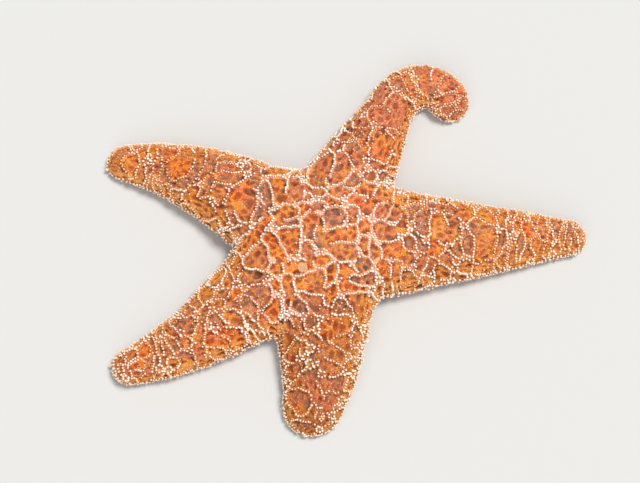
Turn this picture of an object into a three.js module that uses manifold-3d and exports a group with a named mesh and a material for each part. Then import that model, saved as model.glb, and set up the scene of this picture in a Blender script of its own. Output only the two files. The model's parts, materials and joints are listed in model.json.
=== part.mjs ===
// An ochre sea star at life size, resting flat on a floor with its five arms spread.
// The body is one continuous form: five tapering arms that meet in a domed disc. It is parted into
// named lengths by thin cuts across the arms, and a groove for the tube feet runs under each arm.
// The solids reach to the tips of the short spines that cover the skin.
// Millimetres, +Z up, floor at z = 0. The origin is under the middle of the whole animal.
import * as THREE from "three";
import { mergeVertices } from "three/addons/utils/BufferGeometryUtils.js";
import Module from "manifold-3d";

// ---------------------------------------------------------------- driving dimensions

// Each arm leaves the middle of the disc at `heading` (degrees anticlockwise from +X), turns by `bend`
// evenly along its length and by `curl` over the part past `curlFrom`. Half-widths are at the middle of
// the disc (`root`) and just before the rounded end (`tip`). `waist` narrows an arm where it turns. The
// arms go round clockwise, and `cuts` part each one into its named `lengths`, as shares of its length.
const ARMS = [
  { name: "north", heading: 65, bend: -7.5, curl: -132, curlFrom: 0.607, length: 146, root: 29.2, tip: 12.2,
    waist: { at: 0.61, depth: 0.2, spread: 0.165 }, lengths: ["base", "bend", "tip"], cuts: [0.6, 0.82] },
  { name: "east", heading: 0.8, bend: 1.8, curl: 0, curlFrom: 0.6, length: 152, root: 39.3, tip: 10.7,
    lengths: ["base", "middle", "tip"], cuts: [0.57, 0.8] },
  { name: "south", heading: 275.8, bend: -16.5, curl: -15, curlFrom: 0.6, length: 109.5, root: 36.7, tip: 17,
    lengths: ["base", "middle", "tip"], cuts: [0.69, 0.82] },
  { name: "southwest", heading: 222, bend: -13, curl: -14, curlFrom: 0.5, length: 138, root: 35, tip: 10.5,
    lengths: ["base", "middle", "tip"], cuts: [0.61, 0.81] },
  { name: "northwest", heading: 147, bend: 14, curl: 18, curlFrom: 0.5, length: 134, root: 35, tip: 10.5,
    lengths: ["base", "middle", "tip"], cuts: [0.58, 0.8] },
];

const DISC_HEIGHT = 34; // top of the dome, over the mouth
const TIP_HEIGHT = 12.5; // of an arm just before its rounded end
const HEIGHT_FALL = 1.35; // how late along an arm its height falls: 1 is a straight fall
const MARGIN_SHARE = 0.17; // height of an arm's widest line, as a share of its height
const DOME_POWER = 2.3; // fullness of the dome across an arm: 2 is an ellipse
const FLAT_SHARE = 0.84; // share of the half-width that lies flat on the floor
const AXIL_BLEND = 3; // softness of the notch between two arms

// The groove for the tube feet under each arm, at the middle of the disc and just before the arm's end.
const GROOVE = { halfWidth: [5.4, 1.6], depth: [5.6, 1.8], shoulder: [0.6, 0.85] };
// The mouth is a hollow with a bevelled roof that holds a ring of lips round a small opening.
const MOUTH = { radius: 8, depth: 7, bevel: 2, thickness: 3, opening: 1.6, lip: 1.2, lipDrop: 1 };
// The sieve plate is a button whose rim and shoulder are shares of its radius and rise.
const MADREPORITE = {
  radius: 2.8, rise: 0.9, sunk: 1.6, fromCentre: 21, rim: [1, 0.35], shoulder: [0.7, 0.85],
};
const CUT = 0.3; // width of the thin cuts between neighbouring solids

const STATION_STEP = 7; // spacing of the cross-sections along an arm
const STATION_TURN = 10; // most degrees that the axis turns between two of them
const DISC_ROWS = 6; // cross-sections from the middle of the disc to the first cut
const DOME_STEPS = 6; // facets from the ridge of an arm down to its margin
const END_STATIONS = [30, 55, 75]; // degrees round the quarter circle of an arm's rounded end
const TURNED_STEPS = 20; // facets round the mouth and the sieve plate
const UNDER_SHARES = [1, 0.955, FLAT_SHARE]; // places across the rounded edge of the underside
const AXIS_STEP = 1; // spacing of the points that carry an arm's axis
const NOTCH_STEPS = 60; // directions tried for the notch between two arms
const NOTCH_SPAN = [0.2, 0.8]; // where they lie, as shares of the angle from arm to arm
const FLANK_LIMIT = 1.1; // a rib up to this many half-widths long ends on the arm's own flank

// Colours of the skin, the sieve plate and the lips of the mouth.
const SKIN = { color: 0xd8733a, roughness: 0.5, metalness: 0 };
const SIEVE = { color: 0xe9d2bd, roughness: 0.6, metalness: 0 };
const LIPS = { color: 0xdba384, roughness: 0.45, metalness: 0 };

// ---------------------------------------------------------------- helpers

const radians = THREE.MathUtils.degToRad;
const smooth = (t) => THREE.MathUtils.smoothstep(t, 0, 1);
const direction = (angle) => new THREE.Vector2(Math.cos(angle), Math.sin(angle));
const along = (from, angle, distance) => from.clone().addScaledVector(direction(angle), distance);

const wasm = await Module();
wasm.setup();

// A closed geometry as a manifold-3d solid, with its shared corners merged.
function toSolid(geometry) {
  const bare = geometry.index ? geometry.toNonIndexed() : geometry.clone();
  bare.deleteAttribute("normal");
  bare.deleteAttribute("uv");
  const merged = mergeVertices(bare, 1e-4);
  return new wasm.Manifold(new wasm.Mesh({
    numProp: 3,
    vertProperties: merged.attributes.position.array,
    triVerts: new Uint32Array(merged.index.array),
  }));
}

function toGeometry(solid) {
  const mesh = solid.getMesh();
  const places = new Float32Array(mesh.numVert * 3);
  for (let i = 0; i < mesh.numVert; i += 1) {
    places.set(mesh.vertProperties.subarray(i * mesh.numProp, i * mesh.numProp + 3), i * 3);
  }
  return new THREE.BufferGeometry()
    .setAttribute("position", new THREE.BufferAttribute(places, 3))
    .setIndex(new THREE.BufferAttribute(mesh.triVerts, 1));
}

// Collects triangles and quads of Vector3 corners into one geometry.
class Facets {
  places = [];
  triangle(a, b, c) {
    for (const p of [a, b, c]) this.places.push(p.x, p.y, p.z);
  }
  quad(a, b, c, d) {
    this.triangle(a, b, c);
    this.triangle(a, c, d);
  }
  // A strip between two rows of equal length.
  strip(row, next) {
    for (let i = 0; i + 1 < row.length; i += 1) this.quad(row[i], row[i + 1], next[i + 1], next[i]);
  }
  // A flat upright lid over a closed ring, wound as the ring is, or against it.
  lid(ring, against) {
    const sideways = ring.map((p) => p.clone().sub(ring[0]).setZ(0));
    const farthest = sideways.reduce((best, v) => (v.lengthSq() > best.lengthSq() ? v : best));
    const across = farthest.clone().normalize();
    const flat = ring.map((p, i) => new THREE.Vector2(sideways[i].dot(across), p.z));
    const ringTurn = Math.sign(THREE.ShapeUtils.area(flat));
    for (const face of THREE.ShapeUtils.triangulateShape(flat, [])) {
      const faceTurn = Math.sign(THREE.ShapeUtils.area(face.map((i) => flat[i])));
      const corners = face.map((i) => ring[i]);
      if ((faceTurn === ringTurn) === against) corners.reverse();
      this.triangle(...corners);
    }
  }
  geometry() {
    const places = new THREE.Float32BufferAttribute(this.places, 3);
    return new THREE.BufferGeometry().setAttribute("position", places);
  }
}

// ---------------------------------------------------------------- the arms' axes and the outline

const halfWidth = (arm, share) => {
  const endStarts = 1 - arm.tip / arm.length;
  const taper = THREE.MathUtils.lerp(arm.root, arm.tip, Math.min(share / endStarts, 1));
  if (!arm.waist) return taper;
  const away = (share - arm.waist.at) / arm.waist.spread;
  return taper * (1 - arm.waist.depth * Math.exp(-away * away));
};

const headingAt = (arm, share) => radians(
  arm.heading + arm.bend * share + arm.curl * smooth((share - arm.curlFrom) / (1 - arm.curlFrom)),
);

const axisPoint = (arm, distance) => {
  const place = Math.min(distance / arm.step, arm.axis.length - 1.001);
  const before = Math.floor(place);
  return arm.axis[before].clone().lerp(arm.axis[before + 1], place - before);
};

// The axis of each arm is walked in short steps from the middle of the disc to the tip. A row of discs along it
// gives the arm's outline, and the last one, of radius `tip`, rounds its end.
for (const arm of ARMS) {
  arm.axis = [new THREE.Vector2(0, 0)];
  const steps = Math.round(arm.length / AXIS_STEP);
  arm.step = arm.length / steps;
  for (let i = 0; i < steps; i += 1) {
    arm.axis.push(along(arm.axis[i], headingAt(arm, (i + 0.5) / steps), arm.step));
  }
  const endStarts = arm.length - arm.tip;
  const distances = arm.axis.map((_, i) => i * arm.step).filter((distance) => distance < endStarts);
  arm.discs = [...distances, endStarts].map((distance) => (
    { centre: axisPoint(arm, distance), radius: halfWidth(arm, distance / arm.length) }
  ));
}

// How far a point lies outside the outline, negative inside: the soft least of the arms' distances.
function outside(point) {
  const gaps = ARMS.map((arm) => Math.min(...arm.discs.map((d) => point.distanceTo(d.centre) - d.radius)));
  return -AXIL_BLEND * Math.log(gaps.reduce((sum, gap) => sum + Math.exp(-gap / AXIL_BLEND), 0));
}

// Length of a rib that leaves a point inside the body in a given direction and ends at the outline.
function ribLength(from, angle) {
  let inner = 0;
  let outer = 1;
  while (outside(along(from, angle, outer)) < 0) {
    inner = outer;
    outer += 1;
  }
  for (let i = 0; i < 20; i += 1) {
    const middle = (inner + outer) / 2;
    if (outside(along(from, angle, middle)) < 0) inner = middle;
    else outer = middle;
  }
  return inner;
}

const outlinePoint = (from, angle) => along(from, angle, ribLength(from, angle));
const squareAngle = (arm, sign, distance) => headingAt(arm, distance / arm.length) + (sign * Math.PI) / 2;

// The notch between two neighbours is the place on the outline there that lies nearest the middle of the disc.
function notchBetween(arm, next) {
  const between = radians((arm.heading - next.heading + 360) % 360);
  const places = Array.from({ length: NOTCH_STEPS + 1 }, (_, i) => {
    const swing = between * THREE.MathUtils.lerp(...NOTCH_SPAN, i / NOTCH_STEPS);
    return outlinePoint(arm.axis[0], radians(arm.heading) - swing);
  });
  return places.reduce((best, place) => (place.length() < best.length() ? place : best));
}

ARMS.forEach((arm, i) => {
  const next = ARMS[(i + 1) % ARMS.length];
  const notch = notchBetween(arm, next);
  arm.right = { sign: -1, notch };
  next.left = { sign: 1, notch };
});

// On each side of an arm, ribs aim at the notch from the middle of the disc, and further out at places along the
// line from the notch to the flank, where the first rib square with the axis ends, at the distance `square`.
for (const arm of ARMS) {
  for (const side of [arm.left, arm.right]) {
    const rib = (distance) => ribLength(axisPoint(arm, distance), squareAngle(arm, side.sign, distance));
    side.square = Math.ceil(side.notch.dot(direction(radians(arm.heading))));
    while (rib(side.square) > FLANK_LIMIT * halfWidth(arm, side.square / arm.length)) side.square += 1;
    side.flank = outlinePoint(axisPoint(arm, side.square), squareAngle(arm, side.sign, side.square));
  }
  arm.discEnd = Math.max(arm.left.square, arm.right.square) + 1;
}

const heightAt = (arm, share) => TIP_HEIGHT + (DISC_HEIGHT - TIP_HEIGHT) * (1 - share ** HEIGHT_FALL);

// The cross-section of an arm at a distance from the middle of the disc: the dome from the left margin over the
// ridge to the right margin, and the underside from the right margin back to the left one.
function section(arm, distance) {
  const share = distance / arm.length;
  const foot = axisPoint(arm, distance);
  const heading = headingAt(arm, share);
  const height = heightAt(arm, share);
  const margin = MARGIN_SHARE * height;
  const intoEnd = Math.max(0, (distance - (arm.length - arm.tip)) / arm.tip);
  const round = Math.sqrt(Math.max(0, 1 - intoEnd * intoEnd));
  const [left, right] = [arm.left, arm.right].map(({ sign, square, flank, notch }) => {
    const outwards = Math.min(distance / square, 1);
    const goal = notch.clone().lerp(flank, outwards);
    const angle = outwards < 1 ? goal.sub(foot).angle() : heading + (sign * Math.PI) / 2;
    return { angle, reach: round > 0 ? ribLength(foot, angle) : 0, outwards };
  });
  const at = (rib, out, z) => {
    const p = along(foot, rib.angle, rib.reach * out);
    return new THREE.Vector3(p.x, p.y, z);
  };
  const fall = (out, power) => Math.sqrt(Math.max(0, 1 - out ** power));
  const domeHeight = (out) => margin + (height - margin) * round * fall(out, DOME_POWER);
  const underHeight = (out) => {
    const pastFlat = Math.max(0, (out - FLAT_SHARE) / (1 - FLAT_SHARE));
    return margin * (1 - round * fall(pastFlat, 2));
  };
  const places = Array.from({ length: DOME_STEPS + 1 }, (_, i) => Math.sin((Math.PI / 2) * (1 - i / DOME_STEPS)));
  const dome = [
    ...places.map((out) => at(left, out, domeHeight(out))),
    ...places.slice(0, -1).reverse().map((out) => at(right, out, domeHeight(out))),
  ];
  // The groove keeps its width square to the axis, so a slanting rib meets its edge further out. On the line to
  // a notch the edges of two arms' grooves meet in a corner.
  const depth = round * THREE.MathUtils.lerp(...GROOVE.depth, share);
  const [shoulderOut, shoulderUp] = GROOVE.shoulder;
  const corner = GROOVE.halfWidth[0] / Math.sin(Math.PI / ARMS.length);
  const underHalf = (rib) => {
    const slanting = THREE.MathUtils.lerp(...GROOVE.halfWidth, share) / Math.abs(Math.sin(rib.angle - heading));
    const edge = THREE.MathUtils.lerp(corner, slanting, rib.outwards);
    const edgeShare = rib.reach > 2 * edge ? edge / rib.reach : 0.5;
    return [
      ...UNDER_SHARES.map((out) => at(rib, out, underHeight(out))),
      at(rib, edgeShare, underHeight(0)),
      at(rib, edgeShare * shoulderOut, underHeight(0) + depth * shoulderUp),
      at(rib, 0, underHeight(0) + depth),
    ];
  };
  const under = [...underHalf(right), ...underHalf(left).slice(0, -1).reverse()];
  return { dome, under, ring: [...dome, ...under.slice(1, -1)] };
}

// ---------------------------------------------------------------- solids

// One length of an arm, from one distance to another. The last length closes on the tip.
function armLength(arm, from, to) {
  const closesOnTip = to >= arm.length;
  const straightEnd = closesOnTip ? arm.length - arm.tip : to;
  const turn = Math.abs(headingAt(arm, straightEnd / arm.length) - headingAt(arm, from / arm.length));
  const steps = Math.ceil(Math.max((straightEnd - from) / STATION_STEP, turn / radians(STATION_TURN)));
  const station = (_, i) => THREE.MathUtils.lerp(from, straightEnd, i / steps);
  const stations = Array.from({ length: steps + 1 }, station);
  if (closesOnTip) {
    for (const degrees of END_STATIONS) stations.push(straightEnd + arm.tip * Math.sin(radians(degrees)));
  }
  const rings = stations.map((distance) => section(arm, distance).ring);
  const facets = new Facets();
  for (let i = 0; i + 1 < rings.length; i += 1) {
    facets.strip([...rings[i], rings[i][0]], [...rings[i + 1], rings[i + 1][0]]);
  }
  facets.lid(rings[0], true);
  if (closesOnTip) {
    const end = axisPoint(arm, arm.length);
    const point = new THREE.Vector3(end.x, end.y, MARGIN_SHARE * TIP_HEIGHT);
    const last = rings.at(-1);
    last.forEach((p, i) => facets.triangle(p, last[(i + 1) % last.length], point));
  } else {
    facets.lid(rings.at(-1), false);
  }
  return toSolid(facets.geometry());
}

// The disc: every arm's sector from the middle out to the first cut.
function discBody() {
  const facets = new Facets();
  for (const arm of ARMS) {
    const end = arm.discEnd - CUT;
    const rows = Array.from({ length: DISC_ROWS + 1 }, (_, i) => section(arm, (end * i) / DISC_ROWS));
    for (let i = 0; i < DISC_ROWS; i += 1) {
      facets.strip(rows[i].dome, rows[i + 1].dome);
      facets.strip(rows[i].under, rows[i + 1].under);
    }
    facets.lid(rows.at(-1).ring, false);
  }
  return toSolid(facets.geometry());
}

// A turned form about the vertical through the middle of the disc, from [radius, z] pairs.
const turned = (profile) => (
  new THREE.LatheGeometry(profile.map(([r, z]) => new THREE.Vector2(r, z)), TURNED_STEPS).rotateX(Math.PI / 2)
);

function mouthHollow() {
  const { radius, depth, bevel } = MOUTH;
  const below = -1;
  return toSolid(turned([
    [0, below], [radius, below], [radius, depth - bevel], [radius - bevel, depth], [0, depth],
  ]));
}

function mouthRing() {
  const { bevel, opening, lip, lipDrop } = MOUTH;
  const r = MOUTH.radius - CUT;
  const top = MOUTH.depth - CUT;
  const bottom = top - MOUTH.thickness;
  return toSolid(turned([
    [r - bevel, top], [opening, top], [opening, bottom], [opening + lip, bottom - lipDrop],
    [r - bevel, bottom], [r, bottom + lipDrop], [r, top - bevel], [r - bevel, top],
  ]));
}

// The sieve plate sits in the disc on the line to the notch between the south and southwest arms. Its pocket
// is the same form grown by the cut.
function sievePlate(grown) {
  const { notch } = ARMS.find((arm) => arm.name === "south").right;
  const { rise, fromCentre, rim, shoulder } = MADREPORITE;
  const r = MADREPORITE.radius + grown;
  const sunk = MADREPORITE.sunk + grown;
  const button = turned([
    [0, -sunk], [r, -sunk], [rim[0] * r, rim[1] * rise], [shoulder[0] * r, shoulder[1] * rise], [0, rise],
  ]);
  // It leans outwards with the dome, whose height falls along the line to the notch.
  const margin = MARGIN_SHARE * DISC_HEIGHT;
  const domeHeight = (d) => margin + (DISC_HEIGHT - margin) * Math.sqrt(1 - (d / notch.length()) ** DOME_POWER);
  const here = domeHeight(fromCentre);
  const slope = Math.atan(here - domeHeight(fromCentre + 1));
  const outwards = notch.clone().normalize();
  const hinge = new THREE.Vector3(-outwards.y, outwards.x, 0);
  button.applyMatrix4(new THREE.Matrix4().makeRotationAxis(hinge, slope));
  button.translate(outwards.x * fromCentre, outwards.y * fromCentre, here);
  return toSolid(button);
}

// ---------------------------------------------------------------- the named parts

const star = new THREE.Group();

function add(name, solid, finish) {
  const mesh = new THREE.Mesh(toGeometry(solid), new THREE.MeshStandardMaterial(finish));
  mesh.name = name;
  star.add(mesh);
}

add("disc", discBody().subtract(mouthHollow()).subtract(sievePlate(CUT)), SKIN);
add("mouth", mouthRing(), LIPS);
add("madreporite", sievePlate(0), SIEVE);

for (const arm of ARMS) {
  const starts = [arm.discEnd, ...arm.cuts.map((share) => share * arm.length)];
  starts.forEach((from, i) => {
    const to = i + 1 < starts.length ? starts[i + 1] - CUT : arm.length;
    add(`arm_${arm.name}_${arm.lengths[i]}`, armLength(arm, from, to), SKIN);
  });
}

// The animal is set with the middle of its outline's box over the origin.
const box = new THREE.Box3().setFromObject(star);
const middle = box.getCenter(new THREE.Vector3());
star.position.set(-middle.x, -middle.y, -box.min.z);

const group = new THREE.Group();
group.add(star);

export default group;
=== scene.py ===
# %% [markdown]
# # An ochre sea star, life size
#
# This lesson dresses a plain solid model of a sea star with skin, spines, tube feet, a mouth and a sieve
# plate. The solids arrive as a fixed frame that says where everything is. Nearly all of the dressing is
# surfaces worked out with numpy: whole arrays of points go into a mesh at once, so that a body with ten
# thousand spines takes seconds.
#
# Lengths in the code are in millimetres, because that is how one thinks about an animal of this size.
# The one helper that makes a mesh turns them into metres.

import json
import math
from types import SimpleNamespace

import bpy
import numpy as np
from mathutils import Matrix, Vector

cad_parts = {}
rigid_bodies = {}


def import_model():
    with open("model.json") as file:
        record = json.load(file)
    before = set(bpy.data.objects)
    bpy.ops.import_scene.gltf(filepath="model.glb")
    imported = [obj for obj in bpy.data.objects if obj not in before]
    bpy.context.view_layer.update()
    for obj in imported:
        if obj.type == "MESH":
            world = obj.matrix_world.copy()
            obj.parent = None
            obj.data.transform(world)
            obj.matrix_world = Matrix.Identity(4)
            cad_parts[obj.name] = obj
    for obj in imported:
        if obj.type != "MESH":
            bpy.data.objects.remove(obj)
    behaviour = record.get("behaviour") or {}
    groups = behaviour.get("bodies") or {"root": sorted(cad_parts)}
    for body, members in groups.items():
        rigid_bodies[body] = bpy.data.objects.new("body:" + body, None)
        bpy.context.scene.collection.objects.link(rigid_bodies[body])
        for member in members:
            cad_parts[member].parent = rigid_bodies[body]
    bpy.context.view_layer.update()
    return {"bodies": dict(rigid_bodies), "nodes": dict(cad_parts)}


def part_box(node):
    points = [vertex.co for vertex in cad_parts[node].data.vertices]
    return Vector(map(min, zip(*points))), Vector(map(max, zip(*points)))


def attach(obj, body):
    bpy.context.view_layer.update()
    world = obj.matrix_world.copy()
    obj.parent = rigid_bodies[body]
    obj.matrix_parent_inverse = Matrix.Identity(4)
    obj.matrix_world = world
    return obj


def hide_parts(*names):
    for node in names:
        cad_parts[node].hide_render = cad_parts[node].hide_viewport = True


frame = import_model()

# %% [markdown]
# ## The body's plan
#
# A sea star is five tapering arms that meet in a domed disc. Each arm is described by its axis, which
# leaves the middle of the disc at some heading, bends a little all along, and may curl near its end, and
# by its half-width at the root and at the tip. The same few numbers shape the solids, so the skin worked
# out here follows them, and only has to stay inside by the depth of the spines. Arms of one animal also
# differ in colour and in how wide and how banded their net is, so each carries numbers for that too, and
# one more for painted shade, which browns an arm as if it drooped away from the light.

# %% Driving dimensions
MM = 0.001


def arm(name, heading, bend, curl, curl_from, length, root, tip,
        waist=(0.5, 0.0, 1.0), gold=0.0, shade=0.0, meshes=1.0, bands=1.0):
    """One arm's plan: degrees, millimetres, a waist as (place, depth, spread) in shares, how far its
    colour leans to gold, or to coral below zero, how far it is browned as painted shade, how wide its
    outer meshes are and how much they run across it as bands."""
    return SimpleNamespace(
        name=name, heading=heading, bend=bend, curl=curl, curl_from=curl_from, length=length,
        root=root, tip=tip, waist=waist, gold=gold, shade=shade, meshes=meshes, bands=bands,
    )


ARMS = [
    arm("north", 65, -7.5, -132, 0.607, 146, 29.2, 12.2, waist=(0.61, 0.2, 0.165), gold=-0.5, meshes=1.3),
    arm("east", 0.8, 1.8, 0, 0.6, 152, 39.3, 10.7, gold=0.25),
    # shade browns the south arm from a third of the way out: painted shade, as on an arm that droops away
    # from the light
    arm("south", 275.8, -16.5, -15, 0.6, 109.5, 36.7, 17, gold=-0.15, shade=0.25, meshes=0.9, bands=0.2),
    arm("southwest", 222, -13, -14, 0.5, 138, 35, 10.5),
    arm("northwest", 147, 14, 18, 0.5, 134, 35, 10.5),
]
DISC_HEIGHT = 34.0
TIP_HEIGHT = 12.5
HEIGHT_FALL = 1.35
MARGIN_SHARE = 0.17
DOME_POWER = 2.3
FLAT_SHARE = 0.84
AXIL_BLEND = 3.0

COAT_DEPTH = 1.7  # how far the skin lies inside the solids
CREST_DEPTH = 2.2  # and how far below their tops, where ridges and spines add up
SOLE_HEIGHT = 1.3  # the flat underside's height over the floor
GROOVE_HALF_WIDTH = (5.4, 1.6)  # at the middle of the disc and at an arm's end
GROOVE_DEPTH = (6.5, 2.2)

AXIS_STEP = 1.0
ROW_STEP = 1.0  # between the skin's rows along an arm
END_ROWS = 12
DOME_COLUMNS, EDGE_COLUMNS, SOLE_COLUMNS, GROOVE_COLUMNS = 57, 3, 6, 5

mouth_low, mouth_high = (np.array(corner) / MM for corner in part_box("mouth"))
MIDDLE = (mouth_low + mouth_high)[:2] / 2
print("middle of the disc in millimetres:", MIDDLE.round(1))

# %% [markdown]
# ## Small helpers
#
# Most steps need the same few things: a smooth ramp, a blend of two values and a random but smooth field.


# %% Helpers
FIELD_WAVES = 14
FIELD_SHARE = 0.27  # brings the sum of that many waves to about -1 to 1


def smooth(t):
    """A ramp from 0 to 1 with level ends: 3 t squared minus 2 t cubed."""
    t = np.clip(t, 0, 1)
    return t * t * (3 - 2 * t)


def lerp(a, b, t):
    """The value a share t of the way from a to b."""
    return a + (b - a) * t


def unit(vectors):
    """The same directions at length 1."""
    return vectors / np.maximum(np.linalg.norm(vectors, axis=-1, keepdims=True), 1e-9)


def field(points, size, seed):
    """A smooth random value near -1 to 1: sine waves of one length, in random directions, added up."""
    rng = np.random.default_rng(seed)
    waves = unit(rng.normal(size=(FIELD_WAVES, 3)))
    phases = rng.uniform(0, 2 * np.pi, FIELD_WAVES)
    return np.sin(points @ waves.T * (2 * np.pi / size) + phases).sum(1) * FIELD_SHARE


print("the smooth ramp at a quarter, a half and three quarters:", smooth(np.array([0.25, 0.5, 0.75])))

# %% [markdown]
# Two more helpers turn arrays into closed meshes. `from_pydata` would do for small meshes, but it takes
# Python lists. `foreach_set` takes the arrays themselves, which matters with a hundred thousand faces.
# Everything turned or drawn out, from a spine to the mouth, is a stack of rings with a point at each end.


# %% Meshes from arrays
def ring_faces(rings, sides, turned_over=False):
    """Faces that join rings of points and close both ends to the two points that follow them. They face
    outward if the rings climb, and when turned over if they sink."""
    k = np.arange(sides)
    k_next = (k + 1) % sides
    ring = (np.arange(rings - 1) * sides)[:, None]
    quads = np.stack([ring + k, ring + k_next, ring + sides + k_next, ring + sides + k], -1)
    quads = quads.reshape(-1, 4)
    last = (rings - 1) * sides
    triangles = np.concatenate([
        np.stack([k_next, k, np.full(sides, rings * sides)], -1),
        np.stack([last + k, last + k_next, np.full(sides, rings * sides + 1)], -1),
    ])
    if turned_over:
        return quads[:, [0, 3, 2, 1]], triangles[:, [1, 0, 2]]
    return quads, triangles


def new_piece(name, points, quads, triangles, attributes=None, corner_uv=None):
    """A mesh object at the origin, from points in millimetres and arrays of corners."""
    mesh = bpy.data.meshes.new(name)
    corners = np.concatenate([quads.ravel(), triangles.ravel()]).astype(np.int32)
    sizes = np.repeat([4, 3], [len(quads), len(triangles)])
    starts = np.concatenate([[0], np.cumsum(sizes)[:-1]]).astype(np.int32)
    mesh.vertices.add(len(points))
    mesh.vertices.foreach_set("co", (points * MM).astype(np.float32).ravel())
    mesh.loops.add(len(corners))
    mesh.loops.foreach_set("vertex_index", corners)
    mesh.polygons.add(len(sizes))
    mesh.polygons.foreach_set("loop_start", starts)
    mesh.update(calc_edges=True)
    mesh.shade_smooth()
    for key, values in (attributes or {}).items():
        layer = mesh.attributes.new(key, "FLOAT", "POINT")
        layer.data.foreach_set("value", values.astype(np.float32))
    if corner_uv is not None:
        layer = mesh.uv_layers.new(name="OFBake")
        layer.uv.foreach_set("vector", corner_uv.astype(np.float32).ravel())
    piece = bpy.data.objects.new(name, mesh)
    bpy.context.scene.collection.objects.link(piece)
    triangle_count = 2 * len(quads) + len(triangles)
    print(f"{name}: {triangle_count} triangles")
    return piece


print("quads and caps of three rings of eight:", [faces.shape for faces in ring_faces(3, 8)])

# %% [markdown]
# ## Axes and outline
#
# The axis of an arm is walked in short steps, each turned by the heading there. A row of discs along the
# axis, each as wide as the arm, gives the arm's outline, and the last one rounds its end.


# %% Axes and discs
def heading_at(arm, share):
    """Direction of the axis in radians: the heading, an even bend, and a smooth curl past curl_from."""
    curled = smooth((share - arm.curl_from) / (1 - arm.curl_from))
    return np.radians(arm.heading + arm.bend * share + arm.curl * curled)


def half_width(arm, share):
    """An even taper to the last disc, narrowed by a bell-shaped waist."""
    at, depth, spread = arm.waist
    taper = lerp(arm.root, arm.tip, np.minimum(share / (1 - arm.tip / arm.length), 1))
    return taper * (1 - depth * np.exp(-(((share - at) / spread) ** 2)))


def axis_point(arm, distance):
    """The place on the axis at a distance from the middle of the disc."""
    return np.stack([np.interp(distance, arm.walk, arm.axis[:, k]) for k in (0, 1)], -1)


for arm in ARMS:
    arm.walk = np.linspace(0, arm.length, round(arm.length / AXIS_STEP) + 1)
    turns = heading_at(arm, (arm.walk[:-1] + arm.walk[1:]) / 2 / arm.length)
    moves = np.stack([np.cos(turns), np.sin(turns)], 1) * np.diff(arm.walk)[:, None]
    arm.axis = MIDDLE + np.concatenate([[[0, 0]], np.cumsum(moves, 0)])
    arm.end_starts = arm.length - arm.tip
    distances = np.append(arm.walk[arm.walk < arm.end_starts], arm.end_starts)
    arm.centres = axis_point(arm, distances)
    arm.radii = half_width(arm, distances / arm.length)
    arm.end_reach = arm.radii[-1] - COAT_DEPTH  # of the skin, past the last disc's middle
print("discs along each arm:", {arm.name: len(arm.radii) for arm in ARMS})

# %% [markdown]
# How far a point lies outside the whole animal is the least of its distances to all discs. A soft least,
# in place of a hard one, rounds the notch between two arms, as skin does there. From inside, a line
# meets the outline after some steps, each as long as that distance, because none of them can overshoot.

# %% The distance to the outline
RIB_STEPS = 36  # enough to come within a hundredth of a millimetre


def outside(points):
    """How far points lie outside the outline, negative inside: the soft least over the arms' discs."""
    gaps = [
        (np.linalg.norm(points[:, None] - arm.centres, axis=2) - arm.radii).min(1) for arm in ARMS
    ]
    return -AXIL_BLEND * np.log(np.exp(-np.stack(gaps) / AXIL_BLEND).sum(0))


def rib_reach(feet, angles, inset=0.0):
    """Length of a rib from each foot to the outline: step on by the free distance until none is left."""
    rays = np.stack([np.cos(angles), np.sin(angles)], 1)
    reach = np.zeros(len(feet))
    for _ in range(RIB_STEPS):
        reach += np.maximum(-outside(feet + rays * reach[:, None]) - inset, 0)
    return reach


def outline_point(feet, angles):
    """Where ribs from these feet meet the outline."""
    rays = np.stack([np.cos(angles), np.sin(angles)], 1)
    return feet + rays * rib_reach(feet, angles)[:, None]


print("from the middle of the disc to the outline:", -outside(MIDDLE[None]).round(1), "mm at least")

# %% [markdown]
# ## Ribs
#
# To lay a skin over the body one needs two parameters at every place. Here they are the distance along an
# arm's axis and the place across a rib, a straight line from the axis to the outline. Out on an arm the
# ribs stand square to the axis. In the disc they fan round, so that the first rib of one arm is also the
# first rib of its neighbour: it runs to the notch between the two, which is the outline's nearest place
# to the middle. The sectors of the five arms then meet with no gap.

# %% Notches and flanks
FLANK_LIMIT = 1.1  # an arm's own ribs start where the outline is this near to its plain half-width
NOTCH_TRIES = 61
for left, right in zip(ARMS, ARMS[1:] + ARMS[:1]):
    between = np.radians((left.heading - right.heading) % 360)
    tries = np.radians(left.heading) - between * np.linspace(0.2, 0.8, NOTCH_TRIES)
    places = outline_point(np.tile(MIDDLE, (NOTCH_TRIES, 1)), tries)
    notch = places[np.argmin(np.linalg.norm(places - MIDDLE, axis=1))]
    left.right_side = SimpleNamespace(sign=-1, notch=notch)
    right.left_side = SimpleNamespace(sign=1, notch=notch)

for arm in ARMS:
    ahead = np.array([math.cos(math.radians(arm.heading)), math.sin(math.radians(arm.heading))])
    for side in (arm.left_side, arm.right_side):
        tries = np.arange(math.ceil((side.notch - MIDDLE) @ ahead), arm.end_starts)
        angles = heading_at(arm, tries / arm.length) + side.sign * np.pi / 2
        ribs = rib_reach(axis_point(arm, tries), angles)
        first = np.argmax(ribs <= FLANK_LIMIT * half_width(arm, tries / arm.length))
        side.square = tries[first]
        side.flank = outline_point(axis_point(arm, tries[first:first + 1]), angles[first:first + 1])[0]
    print(arm.name, "ribs are square from", arm.left_side.square, "and", arm.right_side.square, "mm")

# %% [markdown]
# ## The skin's form
#
# The rows of an arm's grid stand at even distances along it, and then at even angles round its end.

# %% Rows
LAST_ANGLE = 88  # degrees round an arm's end, just short of the apex
end_angles = np.radians(np.linspace(0, LAST_ANGLE, END_ROWS + 1))[1:]
for arm in ARMS:
    body_rows = np.linspace(0, arm.end_starts, round(arm.end_starts / ROW_STEP) + 1)
    arm.rows = np.concatenate([body_rows, arm.end_starts + arm.end_reach * np.sin(end_angles)])
print("rows:", [len(arm.rows) for arm in ARMS])

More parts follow.
